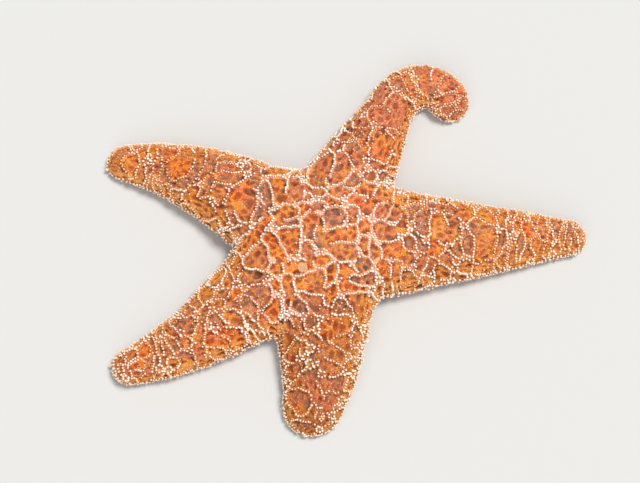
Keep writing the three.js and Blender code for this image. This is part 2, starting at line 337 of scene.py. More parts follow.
# %% [markdown]
# Along each rib the skin climbs from the margin to the ridge as a flattened ellipse, turns under at the
# margin, runs level over the sole, and rises into the groove that holds the tube feet. One ring of
# columns goes round the arm from the groove over the ridge and back, so its seam is hidden in the groove.

# %% One arm's grid of points
GROOVE_LIMIT = 0.5  # the groove's widest share of a rib
GROOVE_POWER = 0.7


def half_section(arm, rows, side):
    """Points from the ridge over the margin to the middle of the groove, rows by columns by x, y, z."""
    share = rows / arm.length
    feet = axis_point(arm, rows)
    heading = heading_at(arm, share)
    outwards = np.minimum(rows / side.square, 1)
    aim = lerp(side.notch, side.flank, outwards[:, None]) - feet
    square = heading + side.sign * np.pi / 2
    angle = np.where(outwards < 1, np.arctan2(aim[:, 1], aim[:, 0]), square)
    reach = rib_reach(feet, angle, COAT_DEPTH)

    into_end = np.clip((rows - arm.end_starts) / arm.end_reach, 0, 1)
    round_off = np.sqrt(1 - into_end**2)[:, None]
    full = (TIP_HEIGHT + (DISC_HEIGHT - TIP_HEIGHT) * (1 - share**HEIGHT_FALL))[:, None]
    margin = MARGIN_SHARE * full + SOLE_HEIGHT / 2
    ridge = full - CREST_DEPTH
    climb = np.linspace(0, np.pi / 2, DOME_COLUMNS + 1)
    dome_out = np.tile(np.sin(climb), (len(rows), 1))
    dome_z = margin + (ridge - margin) * round_off * np.sqrt(1 - dome_out**DOME_POWER)

    past = np.linspace(1, 0, EDGE_COLUMNS + 1)[1:]
    edge_out = np.tile(lerp(FLAT_SHARE, 1, past), (len(rows), 1))
    edge_z = lerp(margin, SOLE_HEIGHT, round_off * np.sqrt(1 - past**2))

    width = lerp(*GROOVE_HALF_WIDTH, share)
    corner = GROOVE_HALF_WIDTH[0] / math.sin(math.pi / len(ARMS))
    groove = lerp(corner, width / np.abs(np.sin(angle - heading)), outwards)
    groove = np.minimum(groove / np.maximum(reach, 1e-6), GROOVE_LIMIT)[:, None]
    inwards = np.linspace(0, 1, SOLE_COLUMNS + 1)[1:]
    sole_out = lerp(FLAT_SHARE, groove, inwards)
    level = lerp(margin, SOLE_HEIGHT, round_off)
    sole_z = np.tile(level, (1, SOLE_COLUMNS))

    rise = np.radians(np.linspace(0, 90, GROOVE_COLUMNS + 1))[1:]
    groove_out = groove * np.cos(rise)
    groove_z = level + round_off * lerp(*GROOVE_DEPTH, share)[:, None] * np.sin(rise) ** GROOVE_POWER

    out = np.concatenate([dome_out, edge_out, sole_out, groove_out], 1)
    z = np.concatenate([dome_z, edge_z, sole_z, groove_z], 1)
    rays = np.stack([np.cos(angle), np.sin(angle)], 1)
    plan = feet[:, None] + rays[:, None] * (reach[:, None] * out)[:, :, None]
    return np.concatenate([plan, z[:, :, None]], 2)


for arm in ARMS:
    left = half_section(arm, arm.rows, arm.left_side)
    right = half_section(arm, arm.rows, arm.right_side)
    arm.grid = np.concatenate([left[:, ::-1], right[:, 1:]], 1)
COLUMNS = ARMS[0].grid.shape[1]
RIDGE = (COLUMNS - 1) // 2
print("columns round an arm:", COLUMNS)

# %% [markdown]
# ## One skin
#
# The five grids share their first ribs and, in the groove, their first and last columns. Giving equal
# points one number joins them into a single closed surface, with no double vertices to merge afterwards.
# An apex closes each arm's end with a fan of triangles.

# %% Joining the grids
offset = 0
for arm in ARMS:
    arm.numbers = offset + np.arange(arm.grid[:, :, 0].size).reshape(arm.grid.shape[:2])
    offset += arm.numbers.size
apexes = np.array([
    [*axis_point(arm, arm.end_starts + arm.end_reach), MARGIN_SHARE * TIP_HEIGHT + SOLE_HEIGHT / 2]
    for arm in ARMS
])
loose = np.concatenate([arm.grid.reshape(-1, 3) for arm in ARMS] + [apexes])
_, first, joined = np.unique(loose.round(4), axis=0, return_index=True, return_inverse=True)
joined = joined.ravel()
skin = loose[first]
apex_numbers = joined[offset:]
quads, triangles = [], []
for arm, apex in zip(ARMS, apex_numbers):
    arm.numbers = joined[arm.numbers]
    n = arm.numbers
    quads.append(np.stack([n[:-1, :-1], n[:-1, 1:], n[1:, 1:], n[1:, :-1]], -1).reshape(-1, 4))
    triangles.append(np.stack([n[-1, :-1], n[-1, 1:], np.full(COLUMNS - 1, apex)], -1))
quads, triangles = np.concatenate(quads), np.concatenate(triangles)

print("skin vertices:", len(skin), "faces:", len(quads) + len(triangles))

# %% [markdown]
# ## Smoothing the joins
#
# Where two sectors meet, the surface still has a faint crease, which some rounds of averaging each vertex
# with its neighbours take out, as one would with a smoothing brush. The disc is smoothed most, because
# the sectors meet there. Links, the pairs of vertices that share an edge, say who is whose neighbour.

# %% Smoothing
SMOOTHING_ROUNDS = 60
SOFT_MIDDLE, SOFT_ARMS = 0.6, 0.12  # how far one round moves a vertex to its neighbours' mean
SOFT_FROM, SOFT_OVER = 35, 30
steps = [quads[:, [k, (k + 1) % 4]] for k in range(4)]
steps += [triangles[:, [k, (k + 1) % 3]] for k in range(3)]
links = np.unique(np.sort(np.concatenate(steps), 1), axis=0)
links = links[links[:, 0] != links[:, 1]]
both_ways = np.concatenate([links, links[:, ::-1]])
neighbours = np.bincount(both_ways[:, 0], minlength=len(skin))


def averaged(values):
    """Each vertex's mean over its neighbours."""
    sums = [np.bincount(both_ways[:, 0], v[both_ways[:, 1]], len(skin)) for v in values.T]
    return np.stack(sums, 1) / neighbours[:, None]


def normals_of(points):
    """Vertex normals: each face's normal, weighted by its area, summed at its corners."""
    a, b, c, d = (points[quads[:, k]] for k in range(4))
    across = np.cross(c - a, d - b)
    total = np.zeros_like(points)
    for k in range(4):
        total += np.stack([np.bincount(quads[:, k], v, len(points)) for v in across.T], 1)
    return unit(total)


from_middle = np.linalg.norm(skin[:, :2] - MIDDLE, axis=1)
softness = lerp(SOFT_MIDDLE, SOFT_ARMS, smooth((from_middle - SOFT_FROM) / SOFT_OVER))[:, None]
softness[apex_numbers] = 0
for _ in range(SMOOTHING_ROUNDS):
    skin = lerp(skin, averaged(skin), softness)
normals = normals_of(skin)
print("links:", len(links), "share of vertices facing up:", (normals[:, 2] > 0).mean().round(3))

# %% [markdown]
# ## Where a vertex is
#
# The pattern of the skin depends on where one is on the animal: on the ridge, the flank, the margin or
# the sole, and how far along an arm. Each vertex therefore keeps its arm, its share along it and its
# place across, which is 0 on the ridge and 1 at the margin. Where a curled arm squeezes its inner side,
# the rows crowd together, and a vertex there knows that too.

# %% Places on the animal
arm_of = np.zeros(len(skin), int)
along = np.zeros(len(skin))
across = np.zeros(len(skin))
for i, arm in enumerate(ARMS):
    place = (np.arange(COLUMNS) - RIDGE) / DOME_COLUMNS
    arm_of[arm.numbers] = i
    along[arm.numbers] = (arm.rows / arm.length)[:, None]
    across[arm.numbers] = place
along[apex_numbers] = 1
across[apex_numbers] = 1
arm_of[apex_numbers] = np.arange(len(ARMS))
stretch = np.ones(len(skin))
for i, arm in enumerate(ARMS):
    strides = np.linalg.norm(np.diff(skin[arm.numbers], axis=0), axis=2)
    stretch[arm.numbers[1:]] = strides / np.diff(arm.rows)[:, None]


def of_arm(key):
    """Each vertex's copy of one of its arm's numbers."""
    return np.array([getattr(arm, key) for arm in ARMS])[arm_of]


def way_out(start):
    """How far each vertex's place on the axis has moved on from the place at a share along its arm."""
    moved = np.zeros_like(skin)
    for i, arm in enumerate(ARMS):
        mine = arm_of == i
        on_axis = axis_point(arm, np.maximum(along[mine], start) * arm.length)
        moved[mine, :2] = on_axis - axis_point(arm, start * arm.length)
    return moved


squeezed = (stretch < 0.5) & (along > 0.4) & (along < 0.9)
ahead_at = np.zeros_like(skin)
for i, arm in enumerate(ARMS):
    turns = heading_at(arm, along[arm_of == i])
    ahead_at[arm_of == i, :2] = np.stack([np.cos(turns), np.sin(turns)], 1)
is_top = np.abs(across) <= 1
flank = smooth((np.abs(across) - 0.35) / 0.45) * is_top
under = smooth((np.abs(across) - 1.0) * DOME_COLUMNS / EDGE_COLUMNS)
in_groove = smooth((np.abs(across) * DOME_COLUMNS - DOME_COLUMNS - EDGE_COLUMNS - SOLE_COLUMNS + 1) / 2)
print("vertices squeezed:", squeezed.sum(), "on top:", is_top.sum(), "in grooves:", (in_groove > 0).sum())

# %% [markdown]
# ## A living body's lumps
#
# No animal is as even as its plan. A random but smooth field pushes the skin out and in by half a
# millimetre, over lengths of one to three centimetres, before anything finer is laid on it.


# %% Lumps
SOLE_SLACK = 0.2  # how far the underside may sink below its plain height


def lumps_at(points):
    """Two smooth random fields, a broad one and a finer one, in millimetres."""
    return 0.5 * field(points, 36, 7) + 0.35 * field(points, 16, 8)


lump_share = np.where(is_top, 1 - 0.5 * flank, 0.1)
lumps = lumps_at(skin) * lump_share
print("the lumps' height in millimetres:", lumps.min().round(2), "to", lumps.max().round(2))
skin = skin + normals * lumps[:, None]
skin[:, 2] = np.maximum(skin[:, 2], SOLE_HEIGHT - SOLE_SLACK)
normals = normals_of(skin)

# %% [markdown]
# ## The net of chalky ridges
#
# Under the skin lies a net of small bones, and the short spines stand along its bars. Such a net looks
# like the walls between soap bubbles. That is a Voronoi pattern: scatter seeds, give every place to the
# nearest seed, and the walls are where two seeds are equally near. Two helpers do this work, and they
# serve again for the finer cells inside the meshes.


# %% Scattering seeds and finding walls
def scatter(points, spacing, rng, starters=()):
    """Numbers of points picked at random, none nearer to another than the spacing at it."""
    free = np.ones(len(points), bool)
    picked = []
    waiting = list(starters)
    while free.any():
        pick = waiting.pop(0) if waiting else rng.choice(np.flatnonzero(free))
        if free[pick]:
            picked.append(pick)
            free &= np.linalg.norm(points - points[pick], axis=1) >= spacing[pick]
    return np.array(picked)


def two_nearest(points, seeds):
    """For each point its nearest and second nearest seed, and how far it is from the wall between them.
    The wall is the plane where both are equally far, so the distance is half the difference of the
    squared distances over the distance between the two seeds."""
    nearest, second, wall = [], [], []
    for part in np.array_split(points, max(1, len(points) * len(seeds) // 4_000_000)):
        squared = (part**2).sum(1)[:, None] + (seeds**2).sum(1) - 2 * part @ seeds.T
        pair = np.argpartition(squared, 1, axis=1)[:, :2]
        distance = np.take_along_axis(squared, pair, 1)
        swap = distance[:, 0] > distance[:, 1]
        pair[swap] = pair[swap][:, ::-1]
        distance[swap] = distance[swap][:, ::-1]
        apart = np.linalg.norm(seeds[pair[:, 0]] - seeds[pair[:, 1]], axis=1)
        nearest.append(pair[:, 0])
        second.append(pair[:, 1])
        wall.append((distance[:, 1] - distance[:, 0]) / 2 / np.maximum(apart, 1e-6))
    return np.concatenate(nearest), np.concatenate(second), np.concatenate(wall)


two_seeds = np.array([[0.0, 0, 0], [4.0, 0, 0]])
print("the wall between two seeds 4 mm apart, from a place at a quarter of the way:",
      two_nearest(two_seeds[1:] / 4, two_seeds)[2], "mm")

# %% [markdown]
# The net's seeds are scattered so that none are too close, wide apart on the disc and closer towards the
# tips. Two rows of seeds beside each ridge line leave a wall that runs down the middle of the arm, as in
# life. A smooth random shift of the places before they are compared bends the walls. Adding a share of
# the way out along the axis makes places look farther apart that way, so the meshes come out short along
# the arm and drawn out across it. Near the tips they are bands, except on the lower arm.

# %% The net's seeds
NET_STATIONS = (0.12, 0.5, 0.85, 1.0)  # shares along an arm
NET_SPACING = (9.6, 8.6, 7.6, 5.4)  # least distance between seeds there
NET_DRAW, TIP_DRAW = 0.15, 0.5  # how much the meshes are drawn out across the arms, and more at the tips
NET_EDGE = 0.86  # the net ends here, above the marginal rows, as a share of the way down
CARINAL_OFFSET = 0.15  # where the two rows of seeds lie beside the ridge line
CARINAL_FROM = 0.3  # and the share of the rows at which they start
BROAD_BEND, FINE_BEND = 3.0, 0.6  # the walls' random shift in millimetres

rng = np.random.default_rng(42)
widening = lerp(1, of_arm("meshes"), smooth((along - 0.45) / 0.2))
net_gap = np.interp(along, NET_STATIONS, NET_SPACING) * widening
drift = np.stack([field(skin, 25, seed) for seed in (1, 2, 3)], 1)
wiggle = np.stack([field(skin, 7.5, seed) for seed in (14, 15, 16)], 1)
drawn_out = of_arm("bands")[:, None] * (NET_DRAW * way_out(0) + TIP_DRAW * way_out(0.65))
warped = skin + BROAD_BEND * drift + FINE_BEND * wiggle + drawn_out
top = np.flatnonzero(is_top)
starters = []
for arm in ARMS:
    for sign in (-1, 1):
        row = int(CARINAL_FROM * len(arm.rows)) + (4 if sign > 0 else 0)
        while row < len(arm.rows) - END_ROWS:
            column = RIDGE + round(sign * (CARINAL_OFFSET + rng.uniform(-0.03, 0.03)) * DOME_COLUMNS)
            starters.append(np.searchsorted(top, arm.numbers[row, column]))
            row += int(net_gap[arm.numbers[row, column]] * rng.uniform(1.05, 1.4) / ROW_STEP)
seeds = top[scatter(warped[top], net_gap[top], rng, starters)]
label = np.full(len(skin), -1)
mesh_of, _, to_wall = two_nearest(warped[top], warped[seeds])
label[top] = seeds[mesh_of]
print("meshes of the net:", len(seeds))

# %% [markdown]
# ## Where the walls run
#
# Wherever the seed changes between two neighbouring vertices, a wall passes between them. How much nearer
# each end of the link is to its own seed says where on the link the wall is crossed. All crossings with
# the same pair of seeds belong to one wall.

# %% Crossings of the walls
def past_wall(points, own, other):
    """By how much the squared distance to another seed is greater than that to a point's own seed."""
    return ((points - other) ** 2).sum(1) - ((points - own) ** 2).sum(1)


start, end = links[(label[links] >= 0).all(1) & (label[links[:, 0]] != label[links[:, 1]])].T
near_gap = past_wall(warped[start], warped[label[start]], warped[label[end]])
far_gap = past_wall(warped[end], warped[label[end]], warped[label[start]])
share = (near_gap / np.maximum(near_gap + far_gap, 1e-9)).clip(0, 1)[:, None]
crossing = lerp(skin[start], skin[end], share)
crossing_normal = unit(lerp(normals[start], normals[end], share))
crossing_across, crossing_along = np.abs(across[start]), along[start]
crossing_ahead = ahead_at[start]
_, chain_of = np.unique(np.sort(np.stack([label[start], label[end]], 1), 1), axis=0, return_inverse=True)
order = np.argsort(chain_of.ravel(), kind="stable")
groups = np.split(order, np.flatnonzero(np.diff(chain_of.ravel()[order])) + 1)
print("crossings:", len(crossing), "walls:", len(groups))

# %% [markdown]
# ## Strings of beads
#
# The crossings of one wall, put in order along its main direction and smoothed by a cubic curve, are a
# line to string spines on. Real strings are irregular, so some walls stay bare, some are only half
# covered, and some carry two files. Far out, walls that run across the arm are covered and those that
# run along it are often bare, which leaves bands. Each string also weaves a little.

# %% Places of the spines along the net
BARE, HALF, DOUBLE = 0.08, 0.2, 0.08  # shares of the walls that are bare, half covered and in two files
BARE_LOW, BARE_LENGTHWISE = 0.12, 0.35  # added low on the flanks, and where far-out walls run lengthwise
WIDE_DOUBLES = 12  # how much commoner two files are where an arm's meshes are wide
BEAD_SPACING = (1.3, 1.65)  # millimetres between spines on a string
BEAD_JITTER, SIDE_JITTER = 0.12, 0.12
STRING_SIZE, BEAD_SIZE = (0.82, 1.05), (0.8, 1.15)  # of a whole string and of each spine on it
WEAVE = 0.3
FILE_GAP = 1.3  # between two files
SHORTEST, SHORTEST_DOUBLE = 1.0, 3  # millimetres of wall
roots, ups, sizes, tints = [], [], [], []
for group in groups:
    points = crossing[group]
    centred = points - points.mean(0)
    direction = np.linalg.svd(centred, full_matrices=False)[2][0]
    t = centred @ direction
    length = np.ptp(t)
    low_down = smooth((crossing_across[group].mean() - 0.55) / 0.3)
    style = rng.uniform()
    spacing = rng.uniform(*BEAD_SPACING)
    crowding = rng.uniform()
    outer = smooth((crossing_along[group].mean() - 0.5) / 0.2)
    lengthwise = smooth((abs(direction @ crossing_ahead[group].mean(0)) - 0.5) / 0.3)
    bead_size = rng.uniform(*STRING_SIZE)
    warmth = rng.uniform(0.0, 0.6)
    spacing *= lerp(1, 0.95, smooth((45 - np.linalg.norm(points.mean(0)[:2] - MIDDLE)) / 15))
    bare = BARE + BARE_LOW * low_down + BARE_LENGTHWISE * outer * lengthwise
    if length < SHORTEST or len(group) < 4 or style < bare:
        continue
    t_low, t_high = t.min(), t.max()
    if rng.uniform() < HALF * (1 - 0.7 * outer * (1 - lengthwise)):
        cut = length * rng.uniform(0.2, 0.55)
        t_low, t_high = (t_low + cut, t_high) if style > 0.6 else (t_low, t_high - cut)
    count = max(1, round((t_high - t_low) / spacing))
    steps_along = np.arange(count) + 0.5 + rng.uniform(-BEAD_JITTER, BEAD_JITTER, count)
    at = t_low + steps_along / count * (t_high - t_low)
    at = at[np.abs(at[:, None] - t).min(1) < 0.9]
    degree = 3 if len(group) >= 10 else 1
    line = np.stack([np.polyval(np.polyfit(t, column, degree), at) for column in points.T], 1)
    lean = crossing_normal[group].T
    up = unit(np.stack([np.polyval(np.polyfit(t, column, 1), at) for column in lean], 1))
    sideways = unit(np.cross(up, direction))
    weave = WEAVE * np.sin(at * 2 * np.pi / rng.uniform(5, 9) + rng.uniform(0, 6))[:, None] * sideways
    wideness = 1 + WIDE_DOUBLES * max(widening[start[group]].mean() - 1, 0)
    files = 2 if crowding < DOUBLE * (1 - low_down) * wideness and length > SHORTEST_DOUBLE else 1
    for file in range(files):
        aside = (file - (files - 1) / 2) * FILE_GAP
        shift = (rng.normal(0, SIDE_JITTER, (len(at), 1)) + aside) * sideways
        roots.append(line + weave + shift + direction * (0.5 * spacing * file))
        ups.append(up)
        sizes.append(np.full(len(at), bead_size) * rng.uniform(*BEAD_SIZE, len(at)))
        tints.append(np.full(len(at), warmth) + rng.uniform(-0.15, 0.15, len(at)))
print("strings:", len(roots), "spines on them:", sum(len(string) for string in roots))

# %% [markdown]
# ## Stars
#
# Where three walls meet, the spines crowd into a little star. Those places are the faces of the skin
# whose corners belong to three different seeds. A star is a ring of spines that lean apart, and the
# strings end at it. Stars are the whitest places, and commoner on the disc than out on the arms.

# %% Stars at the junctions
STARLESS, STARLESS_FAR = 0.4, 0.3  # share of the junctions with no star, and more of them far out
STAR_GAP = 2.5  # millimetres between two stars
STAR_REACH, STAR_NEEDS = 2.6, 3  # a star needs that many strung spines within reach
STAR_MEMBERS = (3, 8)
STAR_LEAN = 0.3
corner_labels = np.sort(label[quads], 1)
different = 1 + (np.diff(corner_labels, axis=1) > 0).sum(1)
meets = quads[(different >= 3) & (corner_labels[:, 0] >= 0)]
meets = meets[(np.abs(across[meets]).mean(1) < NET_EDGE) & (rng.uniform(size=len(meets)) < 0.9)]
junctions, junction_ups = skin[meets].mean(1), unit(normals[meets].mean(1))
keep = scatter(junctions, np.full(len(junctions), STAR_GAP), rng)
strung = np.concatenate(roots)
crowded = np.zeros(len(strung), bool)
star_roots, star_ups, star_sizes, star_tints = [], [], [], []
for centre, up in zip(junctions[keep], junction_ups[keep]):
    distance = np.linalg.norm(strung - centre, axis=1)
    far = np.linalg.norm(centre[:2] - MIDDLE)
    lonely = (distance < STAR_REACH).sum() < STAR_NEEDS
    if lonely or rng.uniform() < STARLESS + STARLESS_FAR * smooth((far - 70) / 30):
        continue
    members = rng.integers(*STAR_MEMBERS)
    radius = 0.17 * members + 0.35
    crowded |= distance < radius + 0.6
    turn = np.arange(members) / members * 2 * np.pi + rng.uniform(0, 6)
    spin = unit(np.cross(up, rng.normal(size=3)))
    ring = np.cos(turn)[:, None] * spin + np.sin(turn)[:, None] * np.cross(up, spin)
    star_roots.append(centre + ring * radius * rng.uniform(0.85, 1.15, (members, 1)))
    star_ups.append(unit(up + STAR_LEAN * ring))
    star_sizes.append(rng.uniform(0.9, 1.12, members))
    star_tints.append(rng.uniform(0, 0.2, members))
net_roots = np.concatenate([strung[~crowded], *star_roots])
net_ups = np.concatenate([np.concatenate(ups)[~crowded], *star_ups])
net_sizes = np.concatenate([np.concatenate(sizes)[~crowded], *star_sizes])
net_tints = np.concatenate([np.concatenate(tints)[~crowded], *star_tints])
print("stars:", len(star_roots))

# %% [markdown]
# ## Thinning
#
# Two spines can't stand in one place. Roots are sorted into boxes a little smaller than a spine, and only
# the first in each box stays, which is quick, and good enough where nothing is closer than a spine's
# width. Spines also keep clear of the sieve plate, few stand where a curled arm squeezes its inner side,
# and the net ends above the marginal rows. How near a vertex is to its nearest spine then says where the
# net's ridges are: a bell curve of that distance, 1 under a spine and 0 two spines away.


# %% Thinning and nearest vertices
def thinned(points, size):
    """Numbers of the points left when each box of that size holds one."""
    boxes = np.floor(points / size).astype(int)
    return np.sort(np.unique(boxes, axis=0, return_index=True)[1])


def nearest_to(points, targets):
    """For each point the number of the nearest target and the distance to it, in a few big products."""
    numbers, distances = [], []
    for part in np.array_split(points, max(1, len(points) * len(targets) // 4_000_000)):
        squared = (part**2).sum(1)[:, None] + (targets**2).sum(1) - 2 * part @ targets.T
        best = squared.argmin(1)
        numbers.append(best)
        distances.append(np.sqrt(np.maximum(squared[np.arange(len(part)), best], 0)))
    return np.concatenate(numbers), np.concatenate(distances)


SIEVE_CLEARANCE = 3.4
FOLD_BARE = 0.7  # share of the spines that a squeezed fold loses
NET_BOX, NET_WIDTH = 0.95, 1.05
sieve_low, sieve_high = (np.array(corner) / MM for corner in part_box("madreporite"))
sieve_middle = (sieve_low + sieve_high) / 2
coarse = np.concatenate([arm.numbers[::4, ::4].ravel() for arm in ARMS])
coarse_arm = np.concatenate([np.full(arm.numbers[::4, ::4].size, i) for i, arm in enumerate(ARMS)])
net_place = nearest_to(net_roots, skin[coarse])[0]
clear = np.linalg.norm(net_roots[:, :2] - sieve_middle[:2], axis=1) > SIEVE_CLEARANCE
bare_fold = squeezed[coarse[net_place]] & (rng.uniform(size=len(net_roots)) < FOLD_BARE)
keep = np.flatnonzero(clear & ~bare_fold & (np.abs(across[coarse[net_place]]) < NET_EDGE))
keep = keep[thinned(net_roots[keep], NET_BOX)]
net_roots, net_ups = net_roots[keep], net_ups[keep]
net_sizes, net_tints = net_sizes[keep], net_tints[keep]
to_spine = nearest_to(skin[top], net_roots)[1]
net = np.zeros(len(skin))
net[top] = np.exp(-((to_spine / NET_WIDTH) ** 2))
print("spines on the net:", len(net_roots))

# %% [markdown]
# ## Breathing patches
#
# Inside each mesh the skin is divided again, by fine yellow ridges round soft sunken patches where the
# animal breathes. The same pattern with smaller cells gives them. Taking away a share of the way out
# along the axis draws these cells out along the arms, and a soft least of the distances to the wall and
# to a ring round the seed takes off their corners. Each cell gets a random depth, so that some patches
# are deep and purplish and others hardly show, though on the flanks all show a little. The distance from
# the nearest ridge is kept as it is, in millimetres, because a distance can be blended between vertices
# and a sharp edge can't. In some meshes of the net the patches run together into one dusky field, most
# often along the crests, and each mesh has a mood of its own, from vivid red-orange to salmon.

# %% The finer cells
CELL_STATIONS, CELL_SPACING = (0.2, 0.6, 1.0), (3.7, 2.8, 2.1)
CELL_DRAW = -0.35  # drawn out along the arms
CELL_ROUND = 0.74  # how far from its seed a cell's rim lies, as a share of the spacing
CELL_SOFTNESS = 0.3
CANDIDATE_SHARE = 0.35  # of the vertices, which is plenty to choose from
GULLY_PLACE, GULLY_WIDTH = 1.9, 0.55  # millimetres from the nearest spine
DUSKY_FLANK, DUSKY_CREST = 0.2, 0.5  # shares of the meshes that are dusky
ripple = np.stack([field(skin, 9, seed) for seed in (4, 5, 6)], 1)
bent = (skin + 0.8 * ripple + CELL_DRAW * way_out(0.25))[top]
picks = np.flatnonzero(rng.uniform(size=len(top)) < CANDIDATE_SHARE)
cell_gap = np.interp(along[top], CELL_STATIONS, CELL_SPACING) * (1 + 0.3 * field(skin[top], 11, 17))
picks = picks[scatter(bent[picks], cell_gap[picks], rng)]
cell, _, to_ridge = two_nearest(bent, bent[picks])
to_rim = CELL_ROUND * cell_gap - np.linalg.norm(bent - bent[picks[cell]], axis=1)
fine = np.full(len(skin), 0.8)
both_near = np.exp(-to_ridge / CELL_SOFTNESS) + np.exp(-to_rim / CELL_SOFTNESS)
fine[top] = np.maximum(-CELL_SOFTNESS * np.log(both_near), 0)
cell_depth = np.zeros(len(skin))
cell_depth[top] = rng.beta(0.9, 1.3, len(picks))[cell]
cell_depth = lerp(cell_depth, 0.3 + 0.6 * cell_depth, flank)
lattice = np.where(is_top, np.exp(-((fine / 0.7) ** 2)), 0) * (1 - net)
pit = np.where(is_top, smooth((fine - 0.5) / 1.0), 0) * (1 - net)
gully = np.exp(-(((to_spine - GULLY_PLACE) / GULLY_WIDTH) ** 2))
dusk = np.zeros(len(skin))
on_crest = smooth((0.45 - np.abs(across[seeds])) / 0.2) * smooth((along[seeds] - 0.15) / 0.15)
dusky = rng.uniform(size=len(seeds)) < lerp(DUSKY_FLANK, DUSKY_CREST, on_crest)
dusk[top] = dusky[mesh_of] * smooth((to_wall - 0.6) / 1.6) * (1 - flank[top])
mood = np.full(len(skin), 0.5)
mood[top] = rng.uniform(size=len(seeds))[mesh_of]
for _ in range(2):
    mood = averaged(mood[:, None])[:, 0]
print("breathing patches:", len(picks))

# %% [markdown]
# ## Relief
#
# The ridges stand up and the patches sink in. All of this is one number for each vertex, by which it
# moves along its normal. A shallow gully runs beside each string, and faint bars across the groove's roof
# mark the plates there.

# %% Relief of the skin
NET_RELIEF, LATTICE_RELIEF = 0.9, 0.5  # millimetres up
PIT_RELIEF, DUSK_RELIEF, GULLY_RELIEF = 1.3, 0.5, 0.3  # and down
BAR_RELIEF, BAR_SPACING = 0.25, 2.4
bars = BAR_RELIEF * np.sin(along * of_arm("length") * 2 * np.pi / BAR_SPACING) * in_groove
relief = NET_RELIEF * net + LATTICE_RELIEF * lattice
relief = relief - PIT_RELIEF * pit * cell_depth - DUSK_RELIEF * dusk + bars
relief[top] -= GULLY_RELIEF * gully
for _ in range(2):
    relief = lerp(relief, averaged(relief[:, None])[:, 0], 0.35)
relief[apex_numbers] = 0
print("relief in millimetres:", relief.min().round(2), "to", relief.max().round(2))
skin = skin + normals * relief[:, None]
skin[:, 2] = np.maximum(skin[:, 2], SOLE_HEIGHT - SOLE_SLACK)
normals = normals_of(skin)
net_roots = net_roots + NET_RELIEF * 0.8 * net_ups

# %% [markdown]
# ## The skin as a mesh
#
# The colours will need to know where the net, the patches and the flanks are, so these numbers go onto
# the vertices as attributes. A smooth random tone makes wide blotches of colour, and leans to gold or
# coral on some arms. The unwrap puts each arm in its own part of the square. A face with four corners is
# drawn as two triangles, parted from its first corner to its third, so each face is numbered from the
# corner that gives the shorter cut. The long cut would show as streaks where the grid is slanted.

# %% The skin's mesh
STRIPS = (3, 2)


def strip_uv(arm_number, around, outward):
    """Place on the unwrap: a share round the arm and a share along it, inside that arm's own strip."""
    column, row = arm_number % STRIPS[0], arm_number // STRIPS[0]
    u = (column + 0.02 + 0.96 * around) / STRIPS[0]
    v = (row + 0.02 + 0.96 * outward) / STRIPS[1]
    return np.stack([u, v], -1)


quad_uv, triangle_uv = [], []
for i, arm in enumerate(ARMS):
    around, outward = np.meshgrid(np.linspace(0, 1, COLUMNS), np.linspace(0, 1, len(arm.rows) + 1))
    uv = strip_uv(np.array(i), around, outward)
    four = [uv[:-2, :-1], uv[:-2, 1:], uv[1:-1, 1:], uv[1:-1, :-1]]
    quad_uv.append(np.stack(four, 2).reshape(-1, 4, 2))
    triangle_uv.append(np.stack([uv[-2, :-1], uv[-2, 1:], (uv[-1, :-1] + uv[-1, 1:]) / 2], 1))
corner_uv = np.concatenate([part.reshape(-1, 2) for part in quad_uv + triangle_uv])
tone = 0.5 + 0.5 * np.clip(0.6 * field(skin, 40, 9) + 0.5 * field(skin, 13, 10), -1, 1)
tone = tone + of_arm("gold") * smooth((along - 0.15) / 0.35)
# painted shade: how far each vertex is browned, for an arm that droops away from the light
shade = of_arm("shade") * smooth((along - 0.15) / 0.3)
pale = net * lerp(0.9, 0.5, smooth((along - 0.15) / 0.3))
markings = {
    "net": net, "pale": pale, "fine": fine, "depth": cell_depth, "dusk": dusk, "mood": mood,
    "flank": flank, "under": under, "tone": tone, "shade": shade, "out": along,
}
one_way = np.linalg.norm(skin[quads[:, 0]] - skin[quads[:, 2]], axis=1)
other_way = np.linalg.norm(skin[quads[:, 1]] - skin[quads[:, 3]], axis=1)
turned = np.where((one_way > other_way)[:, None], [1, 2, 3, 0], [0, 1, 2, 3])
quad_corners = corner_uv[:quads.size].reshape(-1, 4, 2)
corner_uv[:quads.size] = np.take_along_axis(quad_corners, turned[:, :, None], 1).reshape(-1, 2)
skin_quads = np.take_along_axis(quads, turned, 1)
skin_piece = new_piece("skin", skin, skin_quads, triangles, markings, corner_uv)
print("faces numbered from another corner:", int((one_way > other_way).sum()), "of", len(quads))

# %% [markdown]
# ## Planting spines
#
# The spines are the work of thousands of copies of one small turned form, a short stalk with a rounded
# head. Particles or instances would be the quick way, but they don't survive an export, so each spine is
# real mesh. One broadcast makes them all: every point of every copy is its root, plus its direction times
# a height, plus two side vectors times a radius.
#
# Each copy takes the attributes of the skin at its root, so that it can start in the skin's own colour.
# It also takes a tiny patch of the unwrap there, so that baking gives it its colours from one spot.


# %% Planting
BEAD = np.array([  # radius and height of the rings of a round-headed spine, as shares
    (0.80, -0.30), (0.58, 0.15), (0.78, 0.42), (1.0, 0.68), (0.78, 0.93),
])
CONE = np.array([(1.0, -0.2), (0.85, 0.3), (0.7, 0.65), (0.42, 0.92)])  # and of a slender one
PATCH = 0.0015  # half the width of a spine's patch on the unwrap
FLOOR_GAP = 0.03  # what reaches the floor is pressed flat just above it

coarse_uv = np.concatenate([
    np.stack(np.meshgrid(np.linspace(0, 1, COLUMNS)[::4], np.linspace(0, 1, len(arm.rows))[::4]), -1)
    .reshape(-1, 2) for arm in ARMS
])


